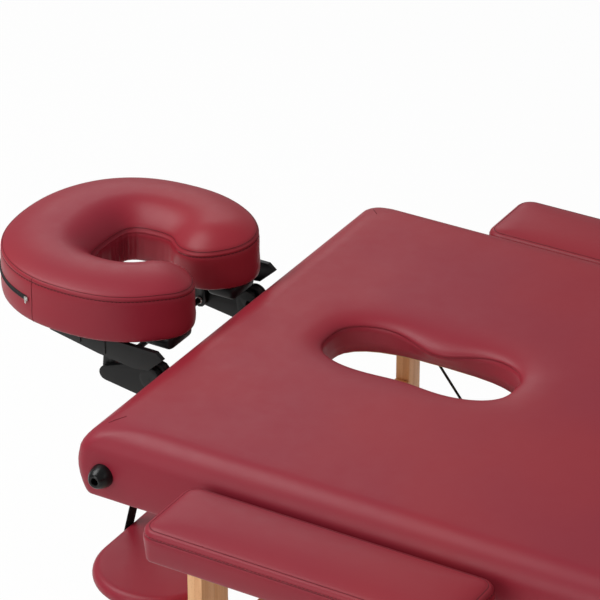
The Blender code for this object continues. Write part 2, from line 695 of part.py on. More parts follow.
def make_cable(end, side, axis):
    # A steel cable in a black sleeve, taut from the leg axle to the upper link.
    rail, knee, _ = brace_points()
    hold = knee + (rail - knee).normalized() * CABLE_PAST_KNEE
    sign = SIDES[side]
    clear = CABLE_RADIUS + FIT
    stop = Vector((along(end, hold[0]), sign * (BRACE_OUT + clear), hold[1]))
    start = Vector((along(end, AXLE_FROM_END), sign * (CABLE_OUT - end.inset), AXLE_Z))
    start += (stop - start).normalized() * (AXLE_RADIUS + 3 * FIT)
    curve = bpy.data.curves.new(f"{end.name}_cable_{side}", "CURVE")
    curve.dimensions = "3D"
    curve.bevel_depth = CABLE_RADIUS
    curve.bevel_resolution = 2
    curve.use_fill_caps = True
    spline = curve.splines.new("POLY")
    spline.points.add(ARC)
    for i, point in enumerate(spline.points):
        point.co = (*start.lerp(stop, i / ARC), 1)
    add_object(curve.name, curve, (0, 0, 0), BLACK_PLASTIC, axis)


def horseshoe(inset):
    # A padded band of even width round a squared ellipse, open towards the table, with round tips.
    half = CUSHION_BAND / 2
    reach = half - inset
    first = math.pi - CUSHION_TURN
    opening = squared(math.cos(first), CUSHION_SQUARE)
    length = (CRADLE_REACH - CUSHION_TIP_GAP - CUSHION_BAND) / (1 + opening)
    centre = -CRADLE_REACH + half + length
    across = CUSHION_WIDTH / 2 - half
    spine = []
    for i in range(SPINE + 1):
        turn = first + 2 * CUSHION_TURN * i / SPINE
        a = centre + length * squared(math.cos(turn), CUSHION_SQUARE)
        spine.append(Vector((a, across * squared(math.sin(turn), CUSHION_SQUARE))))
    outer, inner = [], []
    for i, point in enumerate(spine):
        step = spine[min(i + 1, SPINE)] - spine[max(i - 1, 0)]
        out = Vector((step.y, -step.x)).normalized()
        outer.append(point + out * reach)
        inner.append(point - out * reach)
    return outer + tip(outer[-1], inner[-1]) + inner[::-1] + tip(inner[0], outer[0])


def inner_shares():
    # 0 on the outer side of the horseshoe and 1 on the inner side, point by point.
    across = [i / ARC for i in range(1, ARC)]
    return [0] * (SPINE + 1) + across + [1] * (SPINE + 1) + across[::-1]


def tip(start, stop):
    # A half circle from start to stop, turning left.
    middle, arm = (start + stop) / 2, start - (start + stop) / 2
    return [middle + Matrix.Rotation(math.pi * i / ARC, 2) @ arm for i in range(1, ARC)]


def make_cradle():
    hub = (-HUB_OUT, TOP - HUB_DROP)
    tilt = (-TILT_OUT, TOP - TILT_DROP)
    x = along(HEAD, hub[0])
    base_axis = make_axis("cradle_slide", x, 0, hub[1])
    arm_axis = make_axis("cradle_lift", x, 0, hub[1], base_axis)
    tilt_axis = make_axis("cradle_tilt", along(HEAD, tilt[0]), 0, tilt[1], arm_axis)
    make_base(hub, base_axis)

    bm = bmesh.new()
    heel = (-ARM_HEEL_OUT, TOP - ARM_HEEL_DROP, ARM_HEEL)
    outline = belt(((*tilt, ARM_END), heel, (*hub, ARM_HUB)))
    for side in SIDES.values():
        bore = circle(hub, HUB_RADIUS + RUN, 2 * ROUND)
        add_prism(bm, upright(HEAD, side), outline, ARM_IN, ARM_IN + ARM_THICKNESS, [bore])
    arms = make_piece("cradle_arms", bm, BLACK_METAL, axis=arm_axis)
    rod = bmesh.new()
    reach = ARM_IN + ARM_THICKNESS / 2
    tilt_x = along(HEAD, tilt[0])
    add_rod(rod, (tilt_x, -reach, tilt[1]), (tilt_x, reach, tilt[1]), TILT_ROD)
    combine(arms, "UNION", rod)

    make_platform(tilt, tilt_axis)
    make_cushion(tilt_axis)
    return base_axis


def make_base(hub, axis):
    # Two side plates on a low bar. Each has a capped pin for its arm and a rod for the head rail.
    x = along(HEAD, hub[0])
    bar = (hub[0], TOP - BAR_DROP)
    middle = PLATE_OUT - BASE_PLATE / 2
    bm = bmesh.new()
    add_rod(bm, (x, -middle, bar[1]), (x, middle, bar[1]), BAR_RADIUS)
    base = make_piece("cradle_base", bm, BLACK_METAL, axis=axis)
    outline = belt(((*hub, HUB_RADIUS + BASE_RIM), (*bar, BAR_RADIUS + BASE_RIM)))
    shoulder = ARM_IN + ARM_THICKNESS + SIDE_PLAY - middle
    profile = [
        (0, HUB_RADIUS), (shoulder, HUB_RADIUS),
        (shoulder, HUB_CAP_RADIUS), (CAP_OUT - middle, HUB_CAP_RADIUS),
    ]
    plates, pins, rods = bmesh.new(), bmesh.new(), bmesh.new()
    for side in SIDES.values():
        add_prism(plates, upright(HEAD, side), outline, PLATE_OUT - BASE_PLATE, PLATE_OUT)
        add_turned(pins, (x, side * middle, hub[1]), (0, side, 0), profile)
        y, z = side * ROD_SPREAD, TOP - ROD_DROP
        add_rod(rods, (x, y, z), (along(HEAD, ROD_INSIDE), y, z), ROD_RADIUS)
    for joined in (plates, pins, rods):
        combine(base, "UNION", joined)


def make_platform(tilt, axis):
    top = TOP + CUSHION_RISE - CUSHION_HEIGHT - FIT
    bottom = top - PLATFORM_THICKNESS
    bm = bmesh.new()
    add_prism(bm, level(HEAD), horseshoe(PLATFORM_INSET), bottom, top)
    plate = make_piece("cradle_platform", bm, BLACK_PLASTIC, axis=axis)
    # A cheek that tapers outwards covers each arm, and a lug inside the arm holds the tilt rod.
    inside = bottom + PLATFORM_THICKNESS / 2
    cheek = [
        (-0.188, TOP - 0.026), (-0.116, TOP - 0.040), (-0.064, TOP - 0.0465), (-0.042, TOP - 0.044),
        (-0.020, TOP - 0.0235), (-0.030, inside), (-0.184, inside),
    ]
    lug = belt(((*tilt, ARM_END), (tilt[0], bottom, ARM_END / 2)))
    cheeks, lugs, bores = bmesh.new(), bmesh.new(), bmesh.new()
    x = along(HEAD, tilt[0])
    for side in SIDES.values():
        add_prism(cheeks, upright(HEAD, side), cheek, CHEEK_IN, CHEEK_IN + CHEEK_THICKNESS)
        add_prism(lugs, upright(HEAD, side), lug, LUG_IN, ARM_IN - FIT)
        add_rod(bores, (x, side * (LUG_IN - FIT), tilt[1]), (x, side * ARM_IN, tilt[1]), TILT_ROD + RUN)
    combine(plate, "UNION", cheeks)
    combine(plate, "UNION", lugs)
    combine(plate, "DIFFERENCE", bores)


def make_cushion(axis):
    # The sides draw in between their seams, and the top is crowned along the middle of the band.
    bottom = TOP + CUSHION_RISE - CUSHION_HEIGHT
    boxing = CUSHION_HEIGHT - CUSHION_CROWN
    half = CUSHION_BAND / 2
    rows = [(0, 0.007, 0), (0.06, 0.001, 0), (0.5, 0.003, 0), (1, 0, 0)]
    rows += [(1, part * half, math.sin(part * math.pi / 2)) for part in (0.1, 0.3, 0.55, 0.85)]
    bm = bmesh.new()
    place = level(HEAD)
    rings = []
    for share, inset, rise in rows:
        ring = []
        for point, inner in zip(horseshoe(inset), inner_shares()):
            seam = boxing - CUSHION_DISH * inner * (1 - rise)
            ring.append(place(*point, bottom + share * seam + CUSHION_CROWN * rise))
        rings.append(ring)
    add_rings(bm, rings)
    make_piece("face_cushion", bm, VINYL, axis=axis)


def peg_places():
    return ARMREST_FROM_END + PEG_INSET, ARMREST_FROM_END + ARMREST_LENGTH - PEG_INSET


def peg_height():
    return TOP - ARMREST_DROP - ARMREST_HEIGHT - FIT - ARM_BOARD / 2


def make_armrest(side):
    sign = SIDES[side]
    slide_at = (along(HEAD, ARMREST_FROM_END), sign * RAIL_OUTER, peg_height())
    axis = make_axis(f"armrest_slide_{side}", *slide_at)
    low = (ARMREST_FROM_END, ARMREST_IN)
    high = (ARMREST_FROM_END + ARMREST_LENGTH, ARMREST_IN + ARMREST_WIDTH)
    bottom = TOP - ARMREST_DROP - ARMREST_HEIGHT
    rows = (
        (0, 0.010), (0.004, 0.006), (0.5 * ARMREST_HEIGHT, 0.003), (ARMREST_HEIGHT - 0.010, 0.0),
        (ARMREST_HEIGHT - 0.004, 0.004), (ARMREST_HEIGHT - 0.001, 0.014), (ARMREST_HEIGHT, 0.034),
    )
    rings = []
    for height, inset in rows:
        outline = rounded_outline(low, high, (ARMREST_CORNER, ARMREST_CORNER), inset)
        rings.append([Vector((along(HEAD, a), sign * b, bottom + height)) for a, b in outline])
    bm = bmesh.new()
    add_rings(bm, rings)
    make_piece(f"armrest_pad_{side}", bm, VINYL, axis=axis)

    bm = bmesh.new()
    inset = ARM_BOARD_INSET
    outline = rounded_outline(low, high, (ARMREST_CORNER, ARMREST_CORNER), inset, 1, 1)
    outline = [(a, sign * b) for a, b in outline]
    top = bottom - FIT
    add_prism(bm, level(HEAD), outline, top - ARM_BOARD, top)
    board = make_piece(f"armrest_board_{side}", bm, PLYWOOD, axis=axis)
    pegs = bmesh.new()
    for u in peg_places():
        x = along(HEAD, u)
        start = (x, sign * (PEG_REACH + FIT), peg_height())
        add_rod(pegs, start, (x, sign * (ARMREST_IN + ARMREST_WIDTH / 2), peg_height()), PEG_RADIUS)
    combine(board, "UNION", pegs)


def make_arm_shelf(base_axis):
    x, z = along(HEAD, -HUB_OUT), TOP - BAR_DROP
    axis = make_axis("shelf_swing", x, 0, z, base_axis)
    low, high = (SHELF_FRONT, -SHELF_HALF_LENGTH), (SHELF_FRONT + SHELF_DEPTH, SHELF_HALF_LENGTH)
    edge = SHELF_THICKNESS / 2
    middle = TOP - SHELF_DROP
    rings = []
    for degrees in (-90, -45, 0, 45, 90):
        turn = math.radians(degrees)
        inset = edge * (1 - math.cos(turn))
        outline = rounded_outline(low, high, (SHELF_CORNER, SHELF_CORNER), inset, 2, 2)
        rings.append([Vector((along(HEAD, a), b, middle + edge * math.sin(turn))) for a, b in outline])
    bm = bmesh.new()
    add_rings(bm, rings)
    make_piece("arm_shelf", bm, VINYL, axis=axis)

    # Each strap goes once round the cradle's bar and under the shelf, and leans out on its way down.
    front, rear = SHELF_FRONT + edge, SHELF_FRONT + SHELF_DEPTH - edge
    held = ((front, middle, edge + FIT), (rear, middle, edge + FIT), (-HUB_OUT, z, BAR_RADIUS + FIT))
    for side, sign in SIDES.items():
        bm = bmesh.new()
        outer, inner = belt(held, STRAP_THICKNESS), belt(held)
        add_prism(bm, upright(HEAD, sign), outer, STRAP_IN, STRAP_IN + STRAP_WIDTH, [inner])
        for vert in bm.verts:
            vert.co.y += sign * STRAP_SPLAY * max(0, z - vert.co.z) / (z - middle)
        make_piece(f"shelf_strap_{side}", bm, WEBBING, axis=axis)


middle_axis = make_axis("center_fold", HINGE_X, 0, HINGE_Z)
for half, half_axis in ((HEAD, None), (FOOT, middle_axis)):
    make_section(half, half_axis)
    fold_axis = make_legs(half, half_axis)
    make_braces(half, half_axis, fold_axis)
make_hinge(middle_axis)
cradle_axis = make_cradle()
for arm_side in SIDES:
    make_armrest(arm_side)
make_arm_shelf(cradle_axis)
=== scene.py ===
import math
import bpy
from mathutils import Matrix, Vector, noise
from mathutils.bvhtree import BVHTree


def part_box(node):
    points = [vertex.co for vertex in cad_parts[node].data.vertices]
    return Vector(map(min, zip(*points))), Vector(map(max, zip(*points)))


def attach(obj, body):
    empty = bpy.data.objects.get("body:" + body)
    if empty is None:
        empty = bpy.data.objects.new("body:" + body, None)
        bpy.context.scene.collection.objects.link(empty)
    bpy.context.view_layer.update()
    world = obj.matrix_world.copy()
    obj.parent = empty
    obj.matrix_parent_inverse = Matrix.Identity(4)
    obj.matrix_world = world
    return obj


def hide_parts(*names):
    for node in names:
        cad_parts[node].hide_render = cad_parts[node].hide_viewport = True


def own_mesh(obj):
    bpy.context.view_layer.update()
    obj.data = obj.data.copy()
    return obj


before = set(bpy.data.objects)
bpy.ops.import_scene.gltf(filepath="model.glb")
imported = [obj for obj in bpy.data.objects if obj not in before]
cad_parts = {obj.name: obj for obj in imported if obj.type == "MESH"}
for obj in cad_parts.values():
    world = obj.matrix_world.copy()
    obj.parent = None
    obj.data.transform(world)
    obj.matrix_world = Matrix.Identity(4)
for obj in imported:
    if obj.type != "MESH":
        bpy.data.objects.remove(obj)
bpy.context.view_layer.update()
scene = bpy.context.scene
scene.view_settings.view_transform = "Standard"

headLow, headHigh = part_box("head_pad")
tableTop = headHigh.z
headEdge = headLow.x  # the head end, all cradle and armrest distances run from here
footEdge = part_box("foot_pad")[1].x
halfWidth = headHigh.y
ends = {"head": (headEdge, 1), "foot": (footEdge, -1)}
sides = {"left": 1, "right": -1}


# materials

def linear(hexText):  # sRGB hex to the linear values that shader sockets take
    parts = [int(hexText[i:i + 2], 16) / 255 for i in (1, 3, 5)]
    return tuple(p / 12.92 if p <= 0.04045 else ((p + 0.055) / 1.055) ** 2.4 for p in parts) + (1.0,)


def addNode(tree, kind, settings=None, values=None, links=None):
    node = tree.nodes.new("ShaderNode" + kind)
    for name, value in (settings or {}).items():
        setattr(node, name, value)
    for name, value in (values or {}).items():
        node.inputs[name].default_value = value
    for name, source in (links or {}).items():
        tree.links.new(source, node.inputs[name])
    return node


def addNoise(tree, place, size, detail, distortion=0.0):  # size is how far apart the patches are
    values = {"Scale": 1 / size, "Detail": detail, "Distortion": distortion}
    return addNode(tree, "TexNoise", None, values, {"Vector": place}).outputs["Fac"]


def addMapping(tree, place, scale=(1, 1, 1), turn=(0, 0, 0)):
    values = {"Scale": scale, "Rotation": turn}
    return addNode(tree, "Mapping", None, values, {"Vector": place}).outputs["Vector"]


def addRamp(tree, share, light, dark, spots=(0.0, 1.0)):
    ramp = addNode(tree, "ValToRGB", None, None, {"Fac": share})
    for element, spot, shade in zip(ramp.color_ramp.elements, spots, (dark, light)):
        element.position = spot
        element.color = linear(shade)
    return ramp.outputs["Color"]


def addRange(tree, value, span, target):
    values = {"From Min": span[0], "From Max": span[1], "To Min": target[0], "To Max": target[1]}
    return addNode(tree, "MapRange", None, values, {"Value": value}).outputs["Result"]


def addMix(tree, values, links):
    return addNode(tree, "Mix", {"data_type": "RGBA"}, values, links).outputs["Result"]


def newMaterial(name, roughness, metallic=0.0, level=0.5, coat=0.0, coatRoughness=0.03):
    material = bpy.data.materials.new(name)
    material.use_nodes = True
    tree = material.node_tree
    values = {"Roughness": roughness, "Metallic": metallic, "Specular IOR Level": level,
              "Coat Weight": coat, "Coat Roughness": coatRoughness}
    for socket, value in values.items():
        tree.nodes["Principled BSDF"].inputs[socket].default_value = value
    return material, tree, addNode(tree, "TexCoord").outputs["Object"]


def finishMaterial(material, colour, height, strength, depth=0.0003, sheen=None):
    tree = material.node_tree
    relief = addNode(tree, "Bump", None, {"Strength": strength, "Distance": depth}, {"Height": height})
    sources = {"Base Color": colour, "Normal": relief.outputs["Normal"], "Roughness": sheen}
    for socket, source in sources.items():
        if source is not None:
            tree.links.new(source, tree.nodes["Principled BSDF"].inputs[socket])
    return material


def puVinyl(name, light, dark, roughness=0.42):
    # PU-coated vinyl, calendered with a fine pebble: soft sheen, colour almost even
    material, tree, place = newMaterial(name, roughness, level=0.28)
    pebble = addNode(tree, "TexVoronoi", {"feature": "SMOOTH_F1"}, {"Scale": 1 / 0.0013, "Smoothness": 0.6},
                     {"Vector": place})  # pebbles 1.3 mm apart
    colour = addRamp(tree, addNoise(tree, place, 0.22, 2.0), light, dark, (0.35, 0.65))
    scuff = addNoise(tree, place, 0.018, 4.0)
    sheen = addRange(tree, scuff, (0.3, 0.7), (roughness - 0.02, roughness + 0.03))
    return finishMaterial(material, colour, pebble.outputs["Distance"], 0.10, 0.0004, sheen)


def beechWood(name, grainTurn):
    # lacquered beech: pale tan, fine straight grain with short dark ray flecks, satin
    material, tree, place = newMaterial(name, 0.42, coat=0.15, coatRoughness=0.25)
    lie = addMapping(tree, place, turn=grainTurn)
    grain = addMapping(tree, lie, (1, 1, 0.05))
    bands = addNoise(tree, grain, 0.006, 3.0, 0.6)  # growth rings about 6 mm apart
    broad = addNoise(tree, grain, 0.03, 1.0)
    fleck = addNode(tree, "TexVoronoi", None, {"Scale": 1 / 0.0016, "Randomness": 1.0},
                    {"Vector": addMapping(tree, lie, (1, 1, 0.28))})  # ray flecks 1.6 mm apart
    tone = addRamp(tree, bands, "#F5C08C", "#DA9760", (0.32, 0.68))
    warm = addRamp(tree, broad, "#F5C796", "#E4A670")
    mixed = addMix(tree, {"Factor": 0.35}, {"A": tone, "B": warm})
    dots = addRange(tree, fleck.outputs["Distance"], (0.10, 0.30), (0.35, 0.0))
    flecked = addMix(tree, {"B": linear("#B4794A")}, {"Factor": dots, "A": mixed})
    return finishMaterial(material, flecked, bands, 0.12)


def birchPly(name):
    # raw birch plywood: pale, lightly mottled, dry
    material, tree, place = newMaterial(name, 0.7, level=0.3)
    bands = addNoise(tree, addMapping(tree, place, (0.06, 1, 1)), 0.012, 4.0)
    return finishMaterial(material, addRamp(tree, bands, "#DDBB8C", "#B48A5C"), bands, 0.15)


def speckledFinish(name, light, dark, roughness, metallic, speckSize, strength):
    # one colour broken by a fine surface texture: powder coat, moulded plastic, rubber, zinc
    material, tree, place = newMaterial(name, roughness, metallic, 0.3)
    wear = addNoise(tree, place, 0.035, 3.0)
    colour = addRamp(tree, wear, light, dark, (0.3, 0.7))
    sheen = addRange(tree, wear, (0.3, 0.7), (roughness - 0.06, roughness + 0.08))
    return finishMaterial(material, colour, addNoise(tree, place, speckSize, 3.0), strength, sheen=sheen)


def wovenWebbing(name):
    # black polyester webbing: a plain weave of 1.5 mm ribs across the strap, matt, with painted shade
    # darkening the hollows between the ribs
    material, tree, _ = newMaterial(name, 0.82, level=0.25)
    lay = addNode(tree, "UVMap", {"uv_map": "weave"}).outputs["UV"]
    waves = {}
    for k, (way, pitch) in enumerate((("X", 0.0015), ("Y", 0.0020))):
        waves[k] = addNode(tree, "TexWave", {"bands_direction": way, "wave_profile": "SIN"},
                           {"Scale": 0.314 / pitch}, {"Vector": lay}).outputs["Fac"]
    over = addNode(tree, "Math", {"operation": "MULTIPLY"}, None, waves).outputs["Value"]
    # the colour follows the relief: painted shade darkens the hollows and leaves the rib tops lighter
    return finishMaterial(material, addRamp(tree, over, "#232325", "#0B0B0C"), over, 0.5, 0.0004)


vinyl = puVinyl("burgundyPuVinyl", "#942531", "#8E2333")
beechUpright = beechWood("beechGrainUp", (0, 0, 0))
beechAlong = beechWood("beechGrainAlong", (0, math.pi / 2, 0))
beechAcross = beechWood("beechGrainAcross", (math.pi / 2, 0, 0))
plywood = birchPly("birchPlywood")
# light, dark, roughness, metallic, speck size, strength of the relief
zinc = speckledFinish("zincPlatedSteel", "#C9C9C6", "#B4B4B2", 0.34, 1.0, 0.004, 0.04)
powderCoat = speckledFinish("blackPowderCoat", "#121213", "#0C0C0D", 0.46, 0.0, 0.0014, 0.12)
mouldedAbs = speckledFinish("mouldedBlackAbs", "#131314", "#0D0D0E", 0.40, 0.0, 0.0011, 0.08)
gloss = speckledFinish("polishedBlackRubber", "#0F0F10", "#0A0A0A", 0.24, 0.0, 0.004, 0.03)
rubber = speckledFinish("mattBlackRubber", "#191919", "#101010", 0.66, 0.0, 0.0009, 0.15)
webbing = wovenWebbing("polyesterWebbing")
thread = speckledFinish("bondedThread", "#6A1822", "#57111A", 0.6, 0.0, 0.0006, 0.2)
zipTape = speckledFinish("nylonZipTape", "#232325", "#161617", 0.6, 0.0, 0.0012, 0.2)
nickel = speckledFinish("nickelPlate", "#D2D2CF", "#B9B9B6", 0.28, 1.0, 0.003, 0.04)
sleeve = speckledFinish("blackCableSleeve", "#151515", "#0E0E0E", 0.4, 0.0, 0.003, 0.05)
print("materials made:", len(bpy.data.materials))


# camera, light and floor

view = {"place": (1.226, -3.2116, 2.7067), "right": (0.861, 0.508, 0.0), "up": (-0.2455, 0.4159, 0.8756),
        "back": (0.445, -0.754, 0.483), "lens": 205.86, "sensor": 36, "far": 60}


def makeCamera():
    data = bpy.data.cameras.new("camera")
    data.lens = view["lens"]
    data.sensor_width = view["sensor"]
    data.clip_end = view["far"]
    camera = bpy.data.objects.new("camera", data)
    turn = Matrix((view["right"], view["up"], view["back"])).transposed()
    camera.matrix_world = Matrix.Translation(view["place"]) @ turn.to_quaternion().to_matrix().to_4x4()
    scene.collection.objects.link(camera)
    scene.camera = camera


# square lamps as (place, target, size, power)
lamps = {"overhead": ((-2.4, -0.65, 3.2), (-0.5, 0, 0.5), 2.0, 72.0),
         "rear": ((-3.0, 3.1, 2.5), (-0.9, 0, 0.65), 1.5, 13.0),
         "front": ((-1.4, -3.6, 1.9), (0, 0, 0.4), 2.0, 40.0),
         "foot": ((3.4, 0.6, 2.6), (0, 0, 0.5), 2.2, 9.0)}


def makeLamps():
    for name, (place, target, size, power) in lamps.items():
        data = bpy.data.lights.new(name, "AREA")
        data.shape = "SQUARE"
        data.size = size
        data.energy = power
        lamp = bpy.data.objects.new(name, data)
        lamp.location = place
        lamp.rotation_euler = (Vector(target) - Vector(place)).to_track_quat("-Z", "Y").to_euler()
        scene.collection.objects.link(lamp)


studio = {"white": "#FFFFFF", "fill": 0.34, "floor": "#F4F4F2", "floorSize": 60, "floorDrop": 0.0005,
          "floorWhite": 0.95}


def showWhite(tree, share, usual, white, output):
    # camera and transmission rays meet white, and other rays the usual shader, so reflections stay soft
    path = addNode(tree, "LightPath").outputs
    seen = addNode(tree, "Math", {"operation": "MAXIMUM"}, None,
                   {0: path["Is Camera Ray"], 1: path["Is Transmission Ray"]}).outputs["Value"]
    part = addNode(tree, "Math", {"operation": "MULTIPLY"}, {1: share}, {0: seen}).outputs["Value"]
    both = addNode(tree, "MixShader", None, None, {"Fac": part, 1: usual, 2: white})
    tree.links.new(both.outputs["Shader"], tree.nodes[output].inputs["Surface"])


def makeSurroundings():
    white = {"Color": linear(studio["white"]), "Strength": 1.0}
    world = bpy.data.worlds.new("studio")
    world.use_nodes = True
    scene.world = world
    tree = world.node_tree
    fill = tree.nodes["Background"]
    fill.inputs["Color"].default_value = white["Color"]
    fill.inputs["Strength"].default_value = studio["fill"]
    plain = addNode(tree, "Background", None, white)
    showWhite(tree, 1.0, fill.outputs["Background"], plain.outputs["Background"], "World Output")

    bpy.ops.object.select_all(action="DESELECT")
    bpy.ops.mesh.primitive_plane_add(size=studio["floorSize"], location=(0, 0, -studio["floorDrop"]))
    floor = bpy.context.object
    floor.name = "floor"
    material = bpy.data.materials.new("paleFloor")
    material.use_nodes = True
    tree = material.node_tree
    tree.nodes.remove(tree.nodes["Principled BSDF"])
    soft = addNode(tree, "BsdfDiffuse", None, {"Color": linear(studio["floor"])})
    glow = addNode(tree, "Emission", None, white)
    showWhite(tree, studio["floorWhite"], soft.outputs["BSDF"], glow.outputs["Emission"], "Material Output")
    floor.data.materials.append(material)


makeCamera()
makeLamps()
makeSurroundings()
print("camera, lamps and floor made")


# shared ways of making

def keep(piece, body, material=None, nodes=()):
    if material:
        piece.data.materials.clear()
        piece.data.materials.append(material)
    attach(piece, body)
    if nodes:
        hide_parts(*nodes)
    return piece


def clearSelection():
    if bpy.context.mode != "OBJECT":
        bpy.ops.object.mode_set(mode="OBJECT")
    bpy.ops.object.select_all(action="DESELECT")


def onlySelect(piece):
    clearSelection()
    piece.select_set(True)
    bpy.context.view_layer.objects.active = piece


def smoothByAngle(piece, degrees=35):
    onlySelect(piece)
    bpy.ops.object.shade_smooth_by_angle(angle=math.radians(degrees))


def editAll(piece, *steps):  # mesh tools run on every part of a piece
    onlySelect(piece)
    bpy.ops.object.mode_set(mode="EDIT")
    bpy.ops.mesh.select_all(action="SELECT")
    for step in steps:
        step()
    bpy.ops.object.mode_set(mode="OBJECT")


def outward(piece):  # faces turned outwards on a closed mesh
    editAll(piece, lambda: bpy.ops.mesh.normals_make_consistent(inside=False))


def meshPiece(name, points, faces, smooth=True):
    mesh = bpy.data.meshes.new(name)
    mesh.from_pydata([tuple(p) for p in points], [], faces)
    mesh.update()
    piece = bpy.data.objects.new(name, mesh)
    scene.collection.objects.link(piece)
    if smooth:
        mesh.shade_smooth()
    return piece


def ringFaces(first, rows, count, closed=False):
    faces = []
    for row in range(rows if closed else rows - 1):
        below, above = first + row * count, first + ((row + 1) % rows) * count
        for i in range(count):
            j = (i + 1) % count
            faces.append((below + i, below + j, above + j, above + i))
    return faces


def fillPatch(points, faces, ring, across, lift=None):
    # a regular grid inside a closed ring of point numbers, which starts at a corner
    count = len(ring)
    rows = count // 2 - across
    grid = {}
    for i in range(across + 1):
        grid[i, 0] = ring[i]
        grid[i, rows] = ring[2 * across + rows - i]
    for j in range(1, rows):
        grid[across, j] = ring[across + j]
        grid[0, j] = ring[(count - j) % count]

    def at(i, j):
        return points[grid[i, j]]

    for i in range(1, across):
        for j in range(1, rows):
            s, t = i / across, j / rows
            point = (at(i, 0) * (1 - t) + at(i, rows) * t + at(0, j) * (1 - s) + at(across, j) * s
                     - at(0, 0) * (1 - s) * (1 - t) - at(across, 0) * s * (1 - t)
                     - at(0, rows) * (1 - s) * t - at(across, rows) * s * t)
            if lift:
                point.z += lift * 16 * s * (1 - s) * t * (1 - t)  # 16 makes it whole in the middle
            grid[i, j] = len(points)
            points.append(point)
    for i in range(across):
        for j in range(rows):
            faces.append((grid[i, j], grid[i + 1, j], grid[i + 1, j + 1], grid[i, j + 1]))


def closedRings(name, rings, across, lift=None):
    # rings of points joined by faces, with the last ring and then the first filled by a grid
    count = len(rings[0])
    points = [p for ring in rings for p in ring]
    faces = ringFaces(0, len(rings), count)
    last = (len(rings) - 1) * count
    fillPatch(points, faces, list(range(last, last + count)), across, lift)
    fillPatch(points, faces, list(range(count)), across)
    return meshPiece(name, points, faces)


def ringOf(piece, row, count):  # where a ring of points lies now
    return [v.co.copy() for v in piece.data.vertices[row * count:(row + 1) * count]]


def midway(path, other, share=0.5):
    return [p.lerp(q, share) for p, q in zip(path, other)]


def roundedPlan(low, high, radii, inset, steps, arc, ease=0.0):
    # a rectangle with rounded corners as (along, across) points, moved in by inset; it starts mid-corner
    (a0, b0), (a1, b1) = low, high
    corners = ((a1, b0, radii[1], -90, steps[1]), (a1, b1, radii[1], 0, steps[0]),
               (a0, b1, radii[0], 90, steps[1]), (a0, b0, radii[0], 180, steps[0]))
    arcs = []
    for a, b, radius, first, _ in corners:
        kept = max(radius - inset, radius / 4) + ease
        ca = a - math.copysign(inset + kept, a - (a0 + a1) / 2)
        cb = b - math.copysign(inset + kept, b - (b0 + b1) / 2)
        turns = [math.radians(first + 90 * k / arc) for k in range(arc + 1)]
        arcs.append([(ca + kept * math.cos(t), cb + kept * math.sin(t)) for t in turns])
    plan = []
    for k, corner in enumerate(arcs):
        plan += corner
        (a, b), (na, nb) = corner[-1], arcs[(k + 1) % 4][0]
        count = corners[k][4]
        plan += [(a + (na - a) * s / count, b + (nb - b) * s / count) for s in range(1, count)]
    half = arc // 2
    return plan[half:] + plan[:half]


stitching = {"pitch": 0.0052, "length": 0.0040, "radius": 0.00045, "flatness": 0.8, "around": 6}
stitchRings = ((-0.5, 0.3), (-0.32, 1.0), (0.32, 1.0), (0.5, 0.3))  # (share of the length, of the radius)


def stitchRow(name, path, ways, closed=True):
    # one mesh of small rounded stitches along a path, each half sunk in the vinyl
    length, around = stitching["length"], stitching["around"]
    loop = list(path) + ([path[0]] if closed else [])
    outs = list(ways) + ([ways[0]] if closed else [])
    lengths = [0.0]
    for k in range(1, len(loop)):
        lengths.append(lengths[-1] + (loop[k] - loop[k - 1]).length)
    points, faces = [], []
    spot, k = 0.0, 1
    while spot + length < lengths[-1]:
        while lengths[k] < spot + length / 2 and k < len(lengths) - 1:
            k += 1
        share = (spot + length / 2 - lengths[k - 1]) / max(lengths[k] - lengths[k - 1], 1e-9)
        centre = loop[k - 1].lerp(loop[k], share)
        along = (loop[k] - loop[k - 1]).normalized()
        out = outs[k - 1].lerp(outs[k], share).normalized()
        out = (out - along * out.dot(along)).normalized()
        across = along.cross(out)
        base = len(points)
        for reach, size in stitchRings:
            for turn in range(around):
                angle = 2 * math.pi * turn / around
                spoke = out * (stitching["flatness"] * math.cos(angle)) + across * math.sin(angle)
                points.append(centre + along * reach * length + spoke * stitching["radius"] * size)
        faces += ringFaces(base, len(stitchRings), around)
        faces.append(tuple(range(base + around - 1, base - 1, -1)))
        faces.append(tuple(range(len(points) - around, len(points))))
        spot += stitching["pitch"]
    return meshPiece(name, points, faces)


def cordPoints(spot, along, way, radius, around):  # a ring round a cord
    across = along.cross(way).normalized()
    upward = across.cross(along)
    turns = [2 * math.pi * k / around for k in range(around)]
    return [spot + (across * math.cos(turn) + upward * math.sin(turn)) * radius for turn in turns]


def seamLine(name, path, ways, radius=0.00042, closed=True, around=6):
    # a dark cord of thread that lies in a seam's groove
    points = []
    last = len(path) - 1
    for k, spot in enumerate(path):
        after = path[(k + 1) % len(path)] if closed else path[min(k + 1, last)]
        before = path[k - 1] if closed else path[max(k - 1, 0)]
        points += cordPoints(spot, (after - before).normalized(), ways[k], radius, around)
    faces = ringFaces(0, len(path), around, closed)
    if not closed:
        faces += [tuple(range(around)), tuple(range(around * last, around * last + around))]
    return meshPiece(name, points, faces)


def onSurface(piece, path):  # the path laid on a piece's surface, with the way out at each point
    tree = BVHTree.FromObject(piece, bpy.context.evaluated_depsgraph_get())
    found = [tree.find_nearest(p) for p in path]
    return [hit[0] for hit in found], [hit[1] for hit in found]


def sew(name, piece, line, body, make=seamLine, **options):  # a seam, a row of stitches or a dark line of painted shade on a cover
    path, ways = onSurface(piece, line)
    seam = make(name, path, ways, **options)
    outward(seam)
    keep(seam, body, thread)


